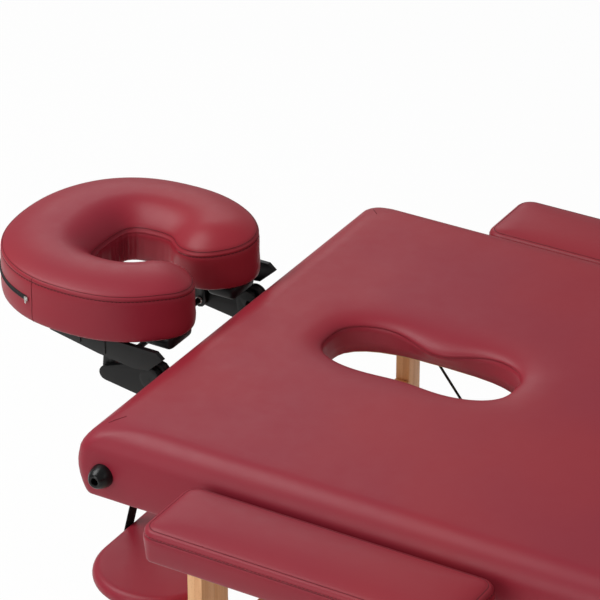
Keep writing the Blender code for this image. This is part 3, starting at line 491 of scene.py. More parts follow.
def blockPiece(name, size, place, bevel, segments=2):
    # a cube scaled to its size, with its arrises bevelled
    clearSelection()
    bpy.ops.mesh.primitive_cube_add(size=1)
    piece = bpy.context.object
    piece.name = piece.data.name = name
    editAll(piece, lambda: bpy.ops.transform.resize(value=size),
            lambda: bpy.ops.mesh.bevel(offset=bevel, segments=segments, affect="EDGES"))
    piece.data.transform(Matrix.Translation(place))
    smoothByAngle(piece)
    return piece


smoothAngle = 32  # arrises sharper than this stay crisp
flutes = {"count": 8, "from": 0.8}  # cut only where the radius is over this share of the largest


def turnPiece(name, profile, start, direction, around=40, fluted=0.0):
    # a disc is extruded and scaled step by step through (distance, radius), then laid on its axis
    clearSelection()
    bpy.ops.mesh.primitive_circle_add(vertices=around, radius=profile[0][1], fill_type="NGON")
    piece = bpy.context.object
    piece.name = piece.data.name = name

    def extrude():
        for (before, wide), (after, narrow) in zip(profile, profile[1:]):
            bpy.ops.mesh.extrude_region_move(TRANSFORM_OT_translate={"value": (0, 0, after - before)})
            ratio = narrow / wide
            bpy.ops.transform.resize(value=(ratio, ratio, 1), center_override=(0, 0, after - profile[0][0]))

    editAll(piece, extrude)
    outward(piece)
    if fluted:
        for vert in piece.data.vertices:
            angle = math.atan2(vert.co.y, vert.co.x)
            if vert.co.xy.length > flutes["from"] * max(radius for _, radius in profile):
                vert.co.xy *= 1 - fluted * (0.5 - 0.5 * math.cos(flutes["count"] * angle)) ** 2
    turn = Vector((0, 0, 1)).rotation_difference(Vector(direction).normalized()).to_matrix().to_4x4()
    piece.data.transform(Matrix.Translation(Vector(start)) @ turn @ Matrix.Translation((0, 0, profile[0][0])))
    smoothByAngle(piece, smoothAngle)
    return piece


easing = {"merge": 0.00002, "flat": 0.8, "angle": 40}


def easedCopy(name, node, material, bevel, segments=2):
    # the frame's own shape with its arrises eased
    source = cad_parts[node]
    piece = source.copy()
    piece.data = source.data.copy()
    piece.parent = None
    for key in list(piece.keys()):
        del piece[key]
    piece.name = piece.data.name = name
    scene.collection.objects.link(piece)
    piece.hide_render = piece.hide_viewport = False
    editAll(piece, lambda: bpy.ops.mesh.remove_doubles(threshold=easing["merge"]),
            lambda: bpy.ops.mesh.customdata_custom_splitnormals_clear(),
            lambda: bpy.ops.mesh.dissolve_limited(angle_limit=math.radians(easing["flat"])))
    ease = piece.modifiers.new("ease", "BEVEL")
    ease.width = bevel
    ease.segments = segments
    ease.limit_method = "ANGLE"
    ease.angle_limit = math.radians(easing["angle"])
    ease.miter_outer = "MITER_ARC"
    bpy.ops.object.modifier_apply(modifier="ease")
    smoothByAngle(piece, smoothAngle)
    piece.data.materials.clear()
    piece.data.materials.append(material)
    return piece


def dress(name, node, body, material, bevel, segments=2):
    keep(easedCopy(name, node, material, bevel, segments), body, None, [node])


filling = {"quality": 6, "use_pressure": True, "tension_stiffness": 18, "compression_stiffness": 18,
           "bending_stiffness": 2.0, "vertex_group_mass": "held"}
fillFrames = 20


def inflate(piece, held, pressure, cap):
    # air pressure fills the cover while its seams and base are held
    onlySelect(piece)
    group = piece.vertex_groups.new(name="held")
    for index, weight in held.items():
        group.add([index], weight, "REPLACE")
    start = [v.co.copy() for v in piece.data.vertices]
    cloth = piece.modifiers.new("fill", "CLOTH")
    for name, value in filling.items():
        setattr(cloth.settings, name, value)
    cloth.settings.uniform_pressure_force = pressure
    cloth.settings.effector_weights.gravity = 0
    cloth.point_cache.frame_start = 1
    cloth.point_cache.frame_end = fillFrames
    for step in range(1, fillFrames + 1):
        scene.frame_set(step)
    full = piece.evaluated_get(bpy.context.evaluated_depsgraph_get())
    stop = [v.co.copy() for v in full.data.vertices]
    piece.modifiers.remove(cloth)
    scene.frame_set(1)
    for vert, was, now in zip(piece.data.vertices, start, stop):
        move = now - was
        if move.length > cap:
            move *= cap / move.length
        vert.co = was + move
    piece.vertex_groups.clear()
    piece.data.update()


# table covers

cover = {"length": 0.925, "padGap": 0.0005, "wall": 0.0461, "skirt": 0.0934, "rounding": 0.038,
         "roundStep": 9, "outerCorner": 0.014, "seamCorner": 0.004, "ease": 0.060, "swell": 0.0012,
         "endSwell": 0.007, "endReach": 0.06, "lining": 0.0019, "hem": 0.0922, "hingeReach": 0.02,
         "hingeSide": 0.002, "hingeHem": 0.0905, "hingeInset": 0.0012, "steps": (64, 44), "arc": 12,
         "flatRings": 18, "footInsets": (0.05, 0.075), "merge": 0.000002}
hole = {"centre": 0.2675, "halfLength": 0.1285, "halfWidth": 0.060, "square": 0.714, "waist": 0.020,
        "waistLength": 0.050, "waistFade": 1.5, "seamDrop": 0.0105, "waistDrop": 0.010, "lip": 0.050,
        "inDeck": 0.006}
# hand-stretched vinyl is never dead flat: (patches to the metre, depth) and where it shows
slack = {"waves": ((9, 0.0007), (23, 0.00025)), "top": 0.001, "sideDrop": 0.04, "sideIn": 0.003, "side": 0.8}
pleatShade = {"near": (0.019, 0.030), "far": (0.035, 0.0475), "radius": 0.0005, "steps": 12}  # where each dark line of painted shade lies along a corner's fold, from end and side
# (inset, drop from the top) up the outside, from the edge that is turned under the rails
skirtRows = ((0.016, 0.0922), (0.016, 0.0931), (0.0060, 0.0934), (0.0032, 0.0930), (0.0014, 0.0918),
             (0.0002, 0.0894), (-0.0008, 0.0850), (-0.0019, 0.0780), (-0.0028, 0.0680), (-0.0031, 0.0580),
             (-0.0028, 0.0500), (-0.0020, 0.0430))
# (outwards from the hole's edge, share of the drop to its seam) from the flat top in
lipRows = ((0.050, 0.0), (0.042, 0.015), (0.034, 0.05), (0.027, 0.10), (0.021, 0.17), (0.0155, 0.26),
           (0.011, 0.37), (0.0072, 0.50), (0.0042, 0.65), (0.0020, 0.82), (0.0007, 1.0))
# (outwards from the hole's edge, share of the way down its wall); the first is the seam's groove
wallRows = ((0.0018, 0.03), (0.0006, 0.06), (0.0003, 0.25), (0.0006, 0.6), (0.0003, 1.0))


def coverPlan(inset, ease=0.0):
    return roundedPlan((0, -halfWidth), (cover["length"] - cover["padGap"], halfWidth),
                       (cover["outerCorner"], cover["seamCorner"]), inset, cover["steps"], cover["arc"], ease)


def powered(value, power):
    return math.copysign(abs(value) ** power, value)


def waistShare(a):  # 1 at the hole's waist, fading along it
    return math.exp(-((a - hole["centre"]) / hole["waistLength"]) ** 2)


def holePoint(angle, grow, swell):  # a squared oval whose padding swells in at the waist
    a = hole["centre"] + (hole["halfLength"] + grow) * powered(math.cos(angle), hole["square"])
    b = (hole["halfWidth"] + grow) * powered(math.sin(angle), hole["square"])
    return a, b - math.copysign(swell * hole["waist"] * waistShare(a), b)


def holeRings(place, count):
    first = cover["arc"] // 2 + cover["steps"][1] / 2  # the plan starts at a corner, half a side earlier
    turns = [2 * math.pi * (k - first) / count for k in range(count)]
    rows = [(grow, share, 0.0, (1 - grow / hole["lip"]) ** hole["waistFade"]) for grow, share in lipRows]
    rows += [(grow, 1.0, down, 1 - down) for grow, down in wallRows]
    rows.append((hole["inDeck"], 1.0, 1.0, 0.0))
    rings = []
    for grow, share, down, swell in rows:
        ring = []
        for turn in turns:
            a, b = holePoint(turn, grow, swell)
            dip = hole["seamDrop"] + hole["waistDrop"] * waistShare(a)
            ring.append(place(a, b, share * dip + down * (cover["wall"] - dip)))
        rings.append(ring)
    return rings


def slacken(rings):
    for p in (point for ring in rings for point in ring):
        soft = sum(noise.noise(p * patches) * depth for patches, depth in slack["waves"])
        if p.z > tableTop - slack["top"]:
            p.z += min(soft, 0.0)
        elif p.z < tableTop - slack["sideDrop"] and abs(p.y) > halfWidth - slack["sideIn"]:
            p.y -= math.copysign(abs(soft) * slack["side"], p.y)


def makeCover(end):
    edge, way = ends[end]
    body = f"{end}_section"
    withHole = end == "head"
    outer = coverPlan(0)
    limit = cover["length"] - cover["padGap"]
    nearHinge = [a > cover["length"] - cover["hingeReach"] and abs(b) < halfWidth - cover["hingeSide"]
                 for a, b in outer]

    def place(a, b, drop):
        full = math.sin(math.pi * min(max(drop / cover["skirt"], 0), 1))
        full *= max(0, 1 - abs(a) / cover["endReach"])
        return Vector((edge + way * (min(a, limit) - cover["endSwell"] * full), b, tableTop - drop))

    def skirtRing(inset, drop):
        ring = []
        for (a, b), (_, level), hinged in zip(coverPlan(inset), outer, nearHinge):
            if hinged and drop > cover["hingeHem"]:  # cut short over the hinge
                ring.append(place(limit - cover["hingeInset"], level, cover["hingeHem"]))
            else:
                ring.append(place(a, b, drop))
        return ring

    rings = [skirtRing(cover["lining"], cover["wall"]), skirtRing(cover["lining"], cover["hem"])]
    rings += [skirtRing(inset, drop) for inset, drop in skirtRows]
    for degrees in range(0, 91, cover["roundStep"]):
        turn = math.radians(degrees)
        r, out, share = cover["rounding"], cover["swell"], 1 - math.cos(turn)
        plan = coverPlan((r + out) * share - out, cover["ease"] * share)  # corners round off towards the top
        rings.append([place(a, b, r * (1 - math.sin(turn))) for a, b in plan])
    if withHole:
        inner = holeRings(place, len(outer))
        flat, flatRings = rings[-1], cover["flatRings"]
        rings += [midway(flat, inner[0], step / flatRings) for step in range(1, flatRings)] + inner
        slacken(rings)
        faces = ringFaces(0, len(rings), len(outer), closed=True)
        piece = meshPiece(f"{end}Cover", [p for ring in rings for p in ring], faces)
    else:
        for inset in cover["footInsets"]:
            rings.append([place(a, b, 0) for a, b in coverPlan(inset, cover["ease"])])
        slacken(rings)
        piece = closedRings(f"{end}Cover", rings, cover["steps"][1] + cover["arc"])
    editAll(piece, lambda: bpy.ops.mesh.remove_doubles(threshold=cover["merge"]))
    outward(piece)
    keep(piece, body, vinyl, [f"{end}_pad"])
    near, far = Vector(pleatShade["near"]), Vector(pleatShade["far"])
    for side, sign in sides.items():  # a thin dark cord of painted shade along the fold of vinyl at each outer corner; the fold itself is not modelled
        spots = [near.lerp(far, k / pleatShade["steps"]) for k in range(pleatShade["steps"] + 1)]
        line = [Vector((edge + way * a, sign * (halfWidth - b), tableTop)) for a, b in spots]
        sew(f"{end}{side.title()}Pleat", piece, line, body, radius=pleatShade["radius"], closed=False)
    if withHole:
        sew("holeSeam", piece, rings[-len(wallRows) - 1], body)


for end in ends:
    makeCover(end)
print("table covers made")


# face cushion

cushion = {"reach": 0.3145, "tipGap": 0.019, "width": 0.324, "band": 0.112, "backBand": 0.012, "turn": 2.39,
           "square": 0.85, "tipSquare": 0.86, "tipLong": 0.98, "rise": 0.064, "height": 0.075, "seam": 0.012,
           "dish": 0.022, "tipDish": 0.8, "crownPower": 2.4, "groove": 0.0009, "along": 84, "tip": 24,
           "patches": 14, "patchDepth": 0.0008, "patchesFrom": 0.02, "pressure": 2.5, "fillCap": 0.004,
           "uprightSeam": -0.199}
gathers = {"depth": 0.0016, "towards": (-0.155, 0), "reach": 0.045, "power": 0.7,
           "waves": ((1.0, 2.1, 0), (0.6, 0.93, 1))}  # waves as (size, pace, lag)
# (share of the boxing's height, inset) from the base up to the edge seam, then insets over the crown
boxingRows = ((0.0, 0.012), (0.0, 0.006), (0.012, 0.0025), (0.05, 0.0008), (0.12, 0.0), (0.25, -0.0004),
              (0.40, 0.0002), (0.55, 0.0005), (0.70, 0.0004), (0.82, 0.0004), (0.90, 0.0010), (0.925, 0.0017),
              (0.95, 0.0010), (0.985, 0.0014), (1.0, 0.0028))
crownRows = (0.0036, 0.0050, 0.0075, 0.011, 0.0155, 0.021, 0.027, 0.033, 0.039, 0.045, 0.051)
cushionHeld = {0: 1.0, 1: 1.0, 2: 0.8, 11: 0.9, 14: 1.0, 15: 1.0}  # how firmly each row is held
edgeRow, topRow, zipRow, sideRow = 15, 11, 7, 5


def horseshoe(inset):
    # the cushion's plan as (from the head end, across) points: outer side, tip, inner side, tip
    half, square, last = cushion["band"] / 2, cushion["square"], cushion["along"]
    openTurn = math.pi - cushion["turn"]
    length = cushion["reach"] - cushion["tipGap"] - cushion["band"]
    length /= 1 + powered(math.cos(openTurn), square)
    centre = -cushion["reach"] + half + length
    across = cushion["width"] / 2 - half
    spine = []
    for k in range(last + 1):
        turn = openTurn + 2 * cushion["turn"] * k / last
        spine.append(Vector((centre + length * powered(math.cos(turn), square),
                             across * powered(math.sin(turn), square))))
    outer, inner = [], []
    for k, point in enumerate(spine):
        step = spine[min(k + 2, last)] - spine[max(k - 2, 0)]
        out = Vector((step.y, -step.x)).normalized()
        outer.append(point + out * (half - inset))
        wider = cushion["backBand"] * math.sin(math.pi * k / last) ** 4
        inner.append(point - out * (half - inset + wider))

    def tip(start, stop):  # a blunt half round
        middle, arm = (start + stop) / 2, start - (start + stop) / 2
        ahead = Vector((-arm.y, arm.x)) * cushion["tipLong"]
        turns = [math.pi * k / cushion["tip"] for k in range(1, cushion["tip"])]
        return [middle + arm * powered(math.cos(turn), cushion["tipSquare"])
                + ahead * powered(math.sin(turn), cushion["tipSquare"]) for turn in turns]

    return outer + tip(outer[-1], inner[-1]) + inner[::-1] + tip(inner[0], outer[0])


def makeCushion():
    along, tipSteps = cushion["along"], cushion["tip"]
    count = 2 * (along + tipSteps)
    crown = cushion["rise"]
    bottom = crown - cushion["height"]
    # how far each column is on the inner side, and how near the far end of the hole
    roundTip = [k / tipSteps for k in range(1, tipSteps)]
    inside = [0.0] * (along + 1) + roundTip + [1.0] * (along + 1) + roundTip[::-1]
    atBack = 2 * ([math.sin(math.pi * k / along) ** 2 for k in range(along + 1)] + [0.0] * len(roundTip))
    tipDish = cushion["tipDish"]
    edge = [crown - cushion["seam"] - cushion["dish"] * i * (tipDish + (1 - tipDish) * b)
            for i, b in zip(inside, atBack)]
    gather = [0.0] * count
    for k in range(count):  # gathered vinyl round the inside of the hole
        if inside[k] == 1.0:
            wave = sum(size * math.sin(k * pace + lag) for size, pace, lag in gathers["waves"])
            gather[k] = gathers["depth"] * atBack[k] * wave
    rings = []
    for share, inset in boxingRows:
        fold = math.sin(math.pi * share) ** gathers["power"] if 0 < share < 1 else 0.0
        ring = []
        for k, spot in enumerate(horseshoe(inset)):
            spot = spot.lerp(Vector(gathers["towards"]), gather[k] * fold / gathers["reach"])
            ring.append(Vector((headEdge + spot.x, spot.y, tableTop + bottom + share * (edge[k] - bottom))))
        rings.append(ring)
    for inset in crownRows:
        lift = 1 - (1 - min(2 * inset / cushion["band"], 1.0)) ** cushion["crownPower"]
        dip = cushion["groove"] if inset == crownRows[0] else 0.0
        rings.append([Vector((headEdge + a, b, tableTop + edge[k] + (crown - edge[k]) * lift - dip))
                      for k, (a, b) in enumerate(horseshoe(inset))])
    points = [p for ring in rings for p in ring]
    for p in points:
        if p.z > tableTop + cushion["patchesFrom"]:
            p.z += noise.noise(p * cushion["patches"]) * cushion["patchDepth"]
    faces = ringFaces(0, len(rings), count)
    for first in (0, (len(rings) - 1) * count):  # close base and crown across the band
        far = first + along + tipSteps
        for k in range(along):
            faces.append((first + k, first + k + 1, far + along - k - 1, far + along - k))
        for start in (along, 2 * along + tipSteps):  # strips across each tip, to a last triangle
            rim = [first + (start + k) % count for k in range(tipSteps + 1)]
            for k in range(tipSteps // 2 - 1):
                faces.append((rim[k], rim[k + 1], rim[-k - 2], rim[-k - 1]))
            faces.append(tuple(rim[tipSteps // 2 - 1:tipSteps // 2 + 2]))
    piece = meshPiece("faceCushion", points, faces)
    outward(piece)
    held = {row * count + k: weight for row, weight in cushionHeld.items() for k in range(count)}
    inflate(piece, held, cushion["pressure"], cushion["fillCap"])
    keep(piece, "face_rest", vinyl, ["face_cushion"])
    return piece, [ringOf(piece, row, count) for row in range(len(rings))]


faceCushion, cushionRings = makeCushion()


def makeCushionSeams():
    along, tipSteps = cushion["along"], cushion["tip"]
    top, below = cushionRings[topRow], cushionRings[topRow - 1]
    sew("cushionEdgeSeam", faceCushion, cushionRings[edgeRow], "face_rest")
    # the top stitching leaves out the hole
    shown = list(range(2 * along + tipSteps + 2, len(top))) + list(range(along + tipSteps - 1))
    sew("cushionTopSeam", faceCushion, [top[k] for k in shown], "face_rest", closed=False)
    line = midway([top[k] for k in shown], [below[k] for k in shown])
    sew("cushionStitches", faceCushion, line, "face_rest", stitchRow, closed=False)
    level = cushionRings[sideRow]
    for side, sign in sides.items():  # the upright seam beside each end of the zip
        columns = [k for k in range(along + 1) if sign * level[k].y > 0]
        column = min(columns, key=lambda k: abs(level[k].x - headEdge - cushion["uprightSeam"]))
        line = [cushionRings[row][column] for row in range(2, edgeRow)]
        sew(f"cushion{side.title()}UprightSeam", faceCushion, line, "face_rest", closed=False)


zipper = {"from": -0.207, "half": 0.0034, "pitch": 0.0011, "proud": 0.0005, "sunk": -0.001,
          "coils": (0.0011, 0.0018), "coilHalf": 0.0011, "gapHalf": 0.0016, "metalBevel": 0.0005}
zipMetal = {"zipSlider": ((0.0026, 0.0062, 0.0056), (0.0012, 0, 0)),  # size and place
            "zipPull": ((0.0010, 0.0028, 0.0060), (0.0029, 0, -0.0032))}


def makeZip():
    # a coil zip round the far side of the boxing, with its slider at the right end
    middle = tableTop + cushion["rise"] - cushion["height"] / 2 - cushion["seam"] / 2
    rough = [p for p in cushionRings[zipRow][:cushion["along"] + 1] if p.x < headEdge + zipper["from"]]
    line = [Vector((rough[0].x, rough[0].y, middle))]
    for p, q in zip(rough, rough[1:]):
        count = max(1, round((q.xy - p.xy).length / zipper["pitch"]))
        line += [Vector((*p.xy.lerp(q.xy, s / count), middle)) for s in range(1, count + 1)]
    path, ways = onSurface(faceCushion, line)
    ways = [Vector((way.x, way.y, 0)).normalized() for way in ways]
    half, gap, ridge, proud = zipper["half"], zipper["gapHalf"], zipper["coilHalf"], zipper["proud"]
    points = []
    for k, (spot, way) in enumerate(zip(path, ways)):
        rises = ((half, zipper["sunk"]), (half, proud), (gap, proud), (ridge, zipper["coils"][k % 2]))
        section = [(-rise, out) for rise, out in rises] + list(rises[::-1])
        points += [spot + way * out + Vector((0, 0, rise)) for rise, out in section]
    faces = ringFaces(0, len(path), len(section))
    faces += [tuple(range(len(section))), tuple(range(len(points) - len(section), len(points)))]
    strip = meshPiece("cushionZip", points, faces, smooth=False)
    outward(strip)
    keep(strip, "face_rest", zipTape)
    last = 0 if path[0].y < path[-1].y else -1
    turn = Matrix.Rotation(math.atan2(ways[last].y, ways[last].x), 4, "Z")
    for name, (size, at) in zipMetal.items():
        piece = blockPiece(name, size, at, zipper["metalBevel"])
        piece.data.transform(Matrix.Translation(path[last]) @ turn)
        keep(piece, "face_rest", nickel)


makeCushionSeams()
makeZip()
print("face cushion made")


# side armrests

armrest = {"from": 0.162, "length": 0.408, "gap": 0.012, "width": 0.118, "drop": 0.016, "height": 0.050,
           "corner": 0.014, "ease": 0.010, "steps": (50, 12), "arc": 8, "lift": 0.0005, "pressure": 2.0,
           "fillCap": 0.0025, "baseBand": 0.001, "seamRadius": 0.00055, "stitchRow": 11}
# (height, inset) from the base to the top; two of the rows are seams
armrestRows = ((0.0000, 0.015), (0.0000, 0.0105), (0.0010, 0.0080), (0.0032, 0.0064), (0.0070, 0.0054),
               (0.0130, 0.0042), (0.0210, 0.0028), (0.0290, 0.0014), (0.0340, 0.0007), (0.0358, 0.0012),
               (0.0367, 0.0022), (0.0377, 0.0013), (0.0400, 0.0016), (0.0424, 0.0028), (0.0440, 0.0046),
               (0.0449, 0.0063), (0.0449, 0.0075), (0.0460, 0.0088), (0.0471, 0.0125), (0.0482, 0.0180),
               (0.0490, 0.0250), (0.0495, 0.0320))
armrestSeams = {"Lower": 10, "Upper": 16}
armrestHeld = {0: 1.0, 1: 1.0, 2: 0.9, 10: 1.0, 16: 1.0}  # how firmly each row is held


def makeArmrest(side):
    sign, body = sides[side], f"{side}_armrest"
    low = (armrest["from"], halfWidth + armrest["gap"])
    high = (low[0] + armrest["length"], low[1] + armrest["width"])
    base = tableTop - armrest["drop"] - armrest["height"]
    rings = []
    for height, inset in armrestRows:
        ease = armrest["ease"] * height / armrest["height"]
        plan = roundedPlan(low, high, (armrest["corner"],) * 2, inset, armrest["steps"], armrest["arc"], ease)
        rings.append([Vector((headEdge + a, sign * b, base + height)) for a, b in plan])
    count = len(rings[0])
    piece = closedRings(f"{side}ArmrestPad", rings, armrest["steps"][1] + armrest["arc"], armrest["lift"])
    outward(piece)
    held = {row * count + k: weight for row, weight in armrestHeld.items() for k in range(count)}
    for vert in piece.data.vertices[len(rings) * count:]:
        if vert.co.z < base + armrest["baseBand"]:
            held[vert.index] = 1.0
    inflate(piece, held, armrest["pressure"], armrest["fillCap"])
    keep(piece, body, vinyl, [f"armrest_pad_{side}"])
    for label, row in armrestSeams.items():
        sew(f"{side}Armrest{label}Seam", piece, ringOf(piece, row, count), body, radius=armrest["seamRadius"])
    line = midway(*(ringOf(piece, armrest["stitchRow"] + k, count) for k in (0, 1)))
    sew(f"{side}ArmrestStitches", piece, line, body, stitchRow)


for side in sides:
    makeArmrest(side)
print("armrests made")


# arm shelf and its straps

shelf = {"front": -0.088, "depth": 0.173, "half": 0.266, "drop": 0.301, "thick": 0.022, "corner": 0.085,
         "roundStep": 15, "steps": (8, 40), "arc": 14}


def makeShelf():
    edge = shelf["thick"] / 2
    low, high = (shelf["front"], -shelf["half"]), (shelf["front"] + shelf["depth"], shelf["half"])
    rings = []
    for degrees in range(-90, 91, shelf["roundStep"]):
        turn = math.radians(degrees)
        inset, z = edge * (1 - math.cos(turn)), tableTop - shelf["drop"] + edge * math.sin(turn)
        plan = roundedPlan(low, high, (shelf["corner"],) * 2, inset, shelf["steps"], shelf["arc"])
        rings.append([Vector((headEdge + a, b, z)) for a, b in plan])
    piece = closedRings("armShelfPad", rings, shelf["steps"][1] + shelf["arc"])
    outward(piece)
    keep(piece, "arm_shelf", vinyl, ["arm_shelf"])


strap = {"barOut": 0.045, "barDrop": 0.092, "barRadius": 0.008, "fit": 0.0003, "inside": 0.0795,
         "wide": 0.021, "thick": 0.0019, "splay": 0.030, "edge": 0.0006, "run": 0.006,
         "turnSteps": 12, "smooth": 50}


def beltPath(circles, steps):  # the tight path round circles (a, b, radius), with its outward normals
    normals = []
    for i, (a, b, radius) in enumerate(circles):
        na, nb, after = circles[(i + 1) % len(circles)]
        apart = math.hypot(na - a, nb - b)
        normals.append(math.atan2(nb - b, na - a) - math.acos((radius - after) / apart))
    path = []
    for i, (a, b, radius) in enumerate(circles):
        first = normals[i - 1]
        sweep = (normals[i] - first) % (2 * math.pi)
        for step in range(steps + 1):
            turn = first + sweep * step / steps
            out = Vector((math.cos(turn), math.sin(turn)))
            path.append((Vector((a, b)) + out * radius, out))
    return path


def makeStrap(side):
    sign = sides[side]
    edge = shelf["thick"] / 2
    middle = -shelf["drop"]
    held = ((shelf["front"] + edge, middle, edge + strap["fit"]),
            (shelf["front"] + shelf["depth"] - edge, middle, edge + strap["fit"]),
            (-strap["barOut"], -strap["barDrop"], strap["barRadius"] + strap["fit"]))
    corners = beltPath(held, strap["turnSteps"])
    path = []
    for k, (point, out) in enumerate(corners):  # straight runs are split
        after, outAfter = corners[(k + 1) % len(corners)]
        count = max(1, int((after - point).length / strap["run"]))
        for s in range(count):
            path.append((point.lerp(after, s / count), out.lerp(outAfter, s / count).normalized()))
    half = strap["wide"] / 2
    flat = half - strap["edge"]
    section = ((-half, 0.3), (-flat, 0.0), (flat, 0.0), (half, 0.3),
               (half, 0.7), (flat, 1.0), (-flat, 1.0), (-half, 0.7))  # (across, share of the thickness)
    points, lay = [], []
    travelled = 0.0
    for k, (point, out) in enumerate(path):
        if k:
            travelled += (point - path[k - 1][0]).length
        shift = strap["splay"] * max(0, -strap["barDrop"] - point.y) / (shelf["drop"] - strap["barDrop"])
        centre = strap["inside"] + half + shift
        for across, depth in section:
            spot = point + out * depth * strap["thick"]
            points.append(Vector((headEdge + spot.x, sign * (centre + across), tableTop + spot.y)))
            lay.append((travelled, across))
    piece = meshPiece(f"{side}ShelfStrap", points, ringFaces(0, len(path), len(section), closed=True))
    weave = piece.data.uv_layers.new(name="weave")
    for polygon in piece.data.polygons:
        furthest = max(lay[v][0] for v in polygon.vertices)
        for loop, vertex in zip(polygon.loop_indices, polygon.vertices):
            u, v = lay[vertex]
            if furthest - u > travelled / 2:  # the faces that close the loop
                u += travelled
            weave.data[loop].uv = (u, v)
    outward(piece)
    smoothByAngle(piece, strap["smooth"])
    keep(piece, "arm_shelf", webbing, [f"shelf_strap_{side}"])


makeShelf()
for side in sides:
    makeStrap(side)
print("arm shelf and straps made")


# wooden frames, legs and braces

wood = {"ease": 0.0016, "fineEase": 0.0012, "boardEase": 0.001, "railEnds": (0.0245, 0.900)}


def makeWood():
    fine = wood["fineEase"]
    for end, (edge, way) in ends.items():
        rail = easedCopy(f"{end}RailFrame", f"{end}_frame", beechAlong, fine)
        rail.data.materials.append(beechAcross)
        for polygon in rail.data.polygons:
            u = way * (polygon.center.x - edge)
            polygon.material_index = int(u < wood["railEnds"][0] or u > wood["railEnds"][1])
        keep(rail, f"{end}_section", None, [f"{end}_frame"])
        dress(f"{end}LegRail", f"{end}_crossbar", f"{end}_legs", beechAcross, wood["ease"])
        for side in sides:
            tag, sliding = f"{end}{side.title()}", f"{end}_{side}_extension"
            dress(f"{tag}Leg", f"{end}_leg_{side}", f"{end}_legs", beechUpright,
                  wood["ease"], segments=3)
            dress(f"{tag}LegExtension", f"{end}_leg_extension_{side}", sliding, beechUpright,
                  wood["ease"], segments=3)
            dress(f"{tag}RubberFoot", f"{end}_rubber_foot_{side}", sliding, rubber, fine)
            for level in ("upper", "lower"):
                dress(f"{tag}{level.title()}Link", f"{end}_{level}_link_{side}", f"{end}_{level}_links",
                      beechAlong, fine)


def finishNode(node, material):
    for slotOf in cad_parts[node].material_slots:
        slotOf.material = material


makeWood()
for end in ends:
    finishNode(f"{end}_deck", plywood)
    finishNode(f"{end}_leg_axle", zinc)
for side in sides:
    dress(f"{side}ArmrestBoard", f"armrest_board_{side}", f"{side}_armrest", plywood,
          wood["boardEase"])
for node in ("hinge_leaf_head", "hinge_leaf_foot", "hinge_pin"):
    finishNode(node, zinc)
print("wood made")


# face cradle

cradle = {"ease": 0.0014, "armEase": 0.0018, "hubOut": 0.045, "hubDrop": 0.062, "capInside": 0.1196,
          "socketOut": 0.0068, "rodSpread": 0.1035, "rodDrop": 0.066, "tiltOut": 0.118, "tiltDrop": 0.079,
          "rivetInside": 0.1026, "tipSize": (0.044, 0.054, 0.0215), "tipOut": 0.052, "tipSpread": 0.075,
          "tipDrop": 0.0222, "tipBevel": 0.0085, "cheekFace": 0.138, "ribSize": (0.0022, 0.0024),
          "ribBevel": 0.0006}
cheekRibs = ((0.142, 0.0245, 0.013), (0.105, 0.0285, 0.018))  # (out from the head end, drop, height)
# turned profiles here and below are (distance, radius)
capProfile = [(0.0, 0.0125), (0.0004, 0.0150), (0.0008, 0.0155), (0.0024, 0.0155), (0.0027, 0.0146),
              (0.0034, 0.0146), (0.0037, 0.0155), (0.0053, 0.0155), (0.0056, 0.0146), (0.0063, 0.0146),
              (0.0066, 0.0155), (0.0082, 0.0155), (0.0085, 0.0146), (0.0092, 0.0146), (0.0098, 0.0151),
              (0.0104, 0.0135), (0.0106, 0.0100), (0.0104, 0.0010)]
socketProfile = [(0, 0.0112), (0.0014, 0.0112), (0.0022, 0.0104), (0.0022, 0.0066), (-0.004, 0.0064)]
rivetProfile = [(0, 0.0050), (0.0010, 0.0050), (0.0018, 0.0042), (0.0022, 0.0030), (0.0023, 0.001)]


def makeCradle():
    def at(out, spread, drop):  # a place from the head end, the middle and the top
        return headEdge - out, spread, tableTop - drop

    dress("cradleBase", "cradle_base", "cradle_base", powderCoat, cradle["ease"])
    for side, sign in sides.items():
        hub = at(cradle["hubOut"], sign * cradle["capInside"], cradle["hubDrop"])
        cap = turnPiece(f"{side}HubCap", capProfile, hub, (0, sign, 0))
        keep(cap, "cradle_base", mouldedAbs)
        rod = at(cradle["socketOut"], sign * cradle["rodSpread"], cradle["rodDrop"])
        socket = turnPiece(f"{side}RodSocket", socketProfile, rod, (-1, 0, 0), around=32)
        keep(socket, "head_section", mouldedAbs)
        tilt = at(cradle["tiltOut"], sign * cradle["rivetInside"], cradle["tiltDrop"])
        rivet = turnPiece(f"{side}TiltRivet", rivetProfile, tilt, (0, -sign, 0), around=28)
        keep(rivet, "face_rest", zinc)
        lobe = at(cradle["tipOut"], sign * cradle["tipSpread"], cradle["tipDrop"])
        tip = blockPiece(f"{side}PlatformTip", cradle["tipSize"], lobe, cradle["tipBevel"], segments=4)
        keep(tip, "face_rest", mouldedAbs)
        for k, (out, drop, tall) in enumerate(cheekRibs):
            rib = blockPiece(f"{side}CheekRib{k + 1}", (*cradle["ribSize"], tall),
                             at(out, sign * cradle["cheekFace"], drop), cradle["ribBevel"])
            keep(rib, "face_rest", mouldedAbs)
    dress("cradleArms", "cradle_arms", "cradle_arms", powderCoat, cradle["armEase"],
          segments=3)
    dress("cradlePlatform", "cradle_platform", "face_rest", mouldedAbs, cradle["ease"])


makeCradle()
print("cradle made")


# bumpers, knobs, handles and screws

bumper = {"fromEnd": 0.032, "drop": 0.058}
bumperProfile = [(-0.004, 0.010), (0.0003, 0.010), (0.0003, 0.0140), (0.0008, 0.0149), (0.0020, 0.0151),
                 (0.0055, 0.0150), (0.0095, 0.0141), (0.0135, 0.0127), (0.0168, 0.0111), (0.0192, 0.0095),
                 (0.0204, 0.0084), (0.0209, 0.0074), (0.0207, 0.0056), (0.0199, 0.0047), (0.0090, 0.0045),
                 (0.0090, 0.0005)]


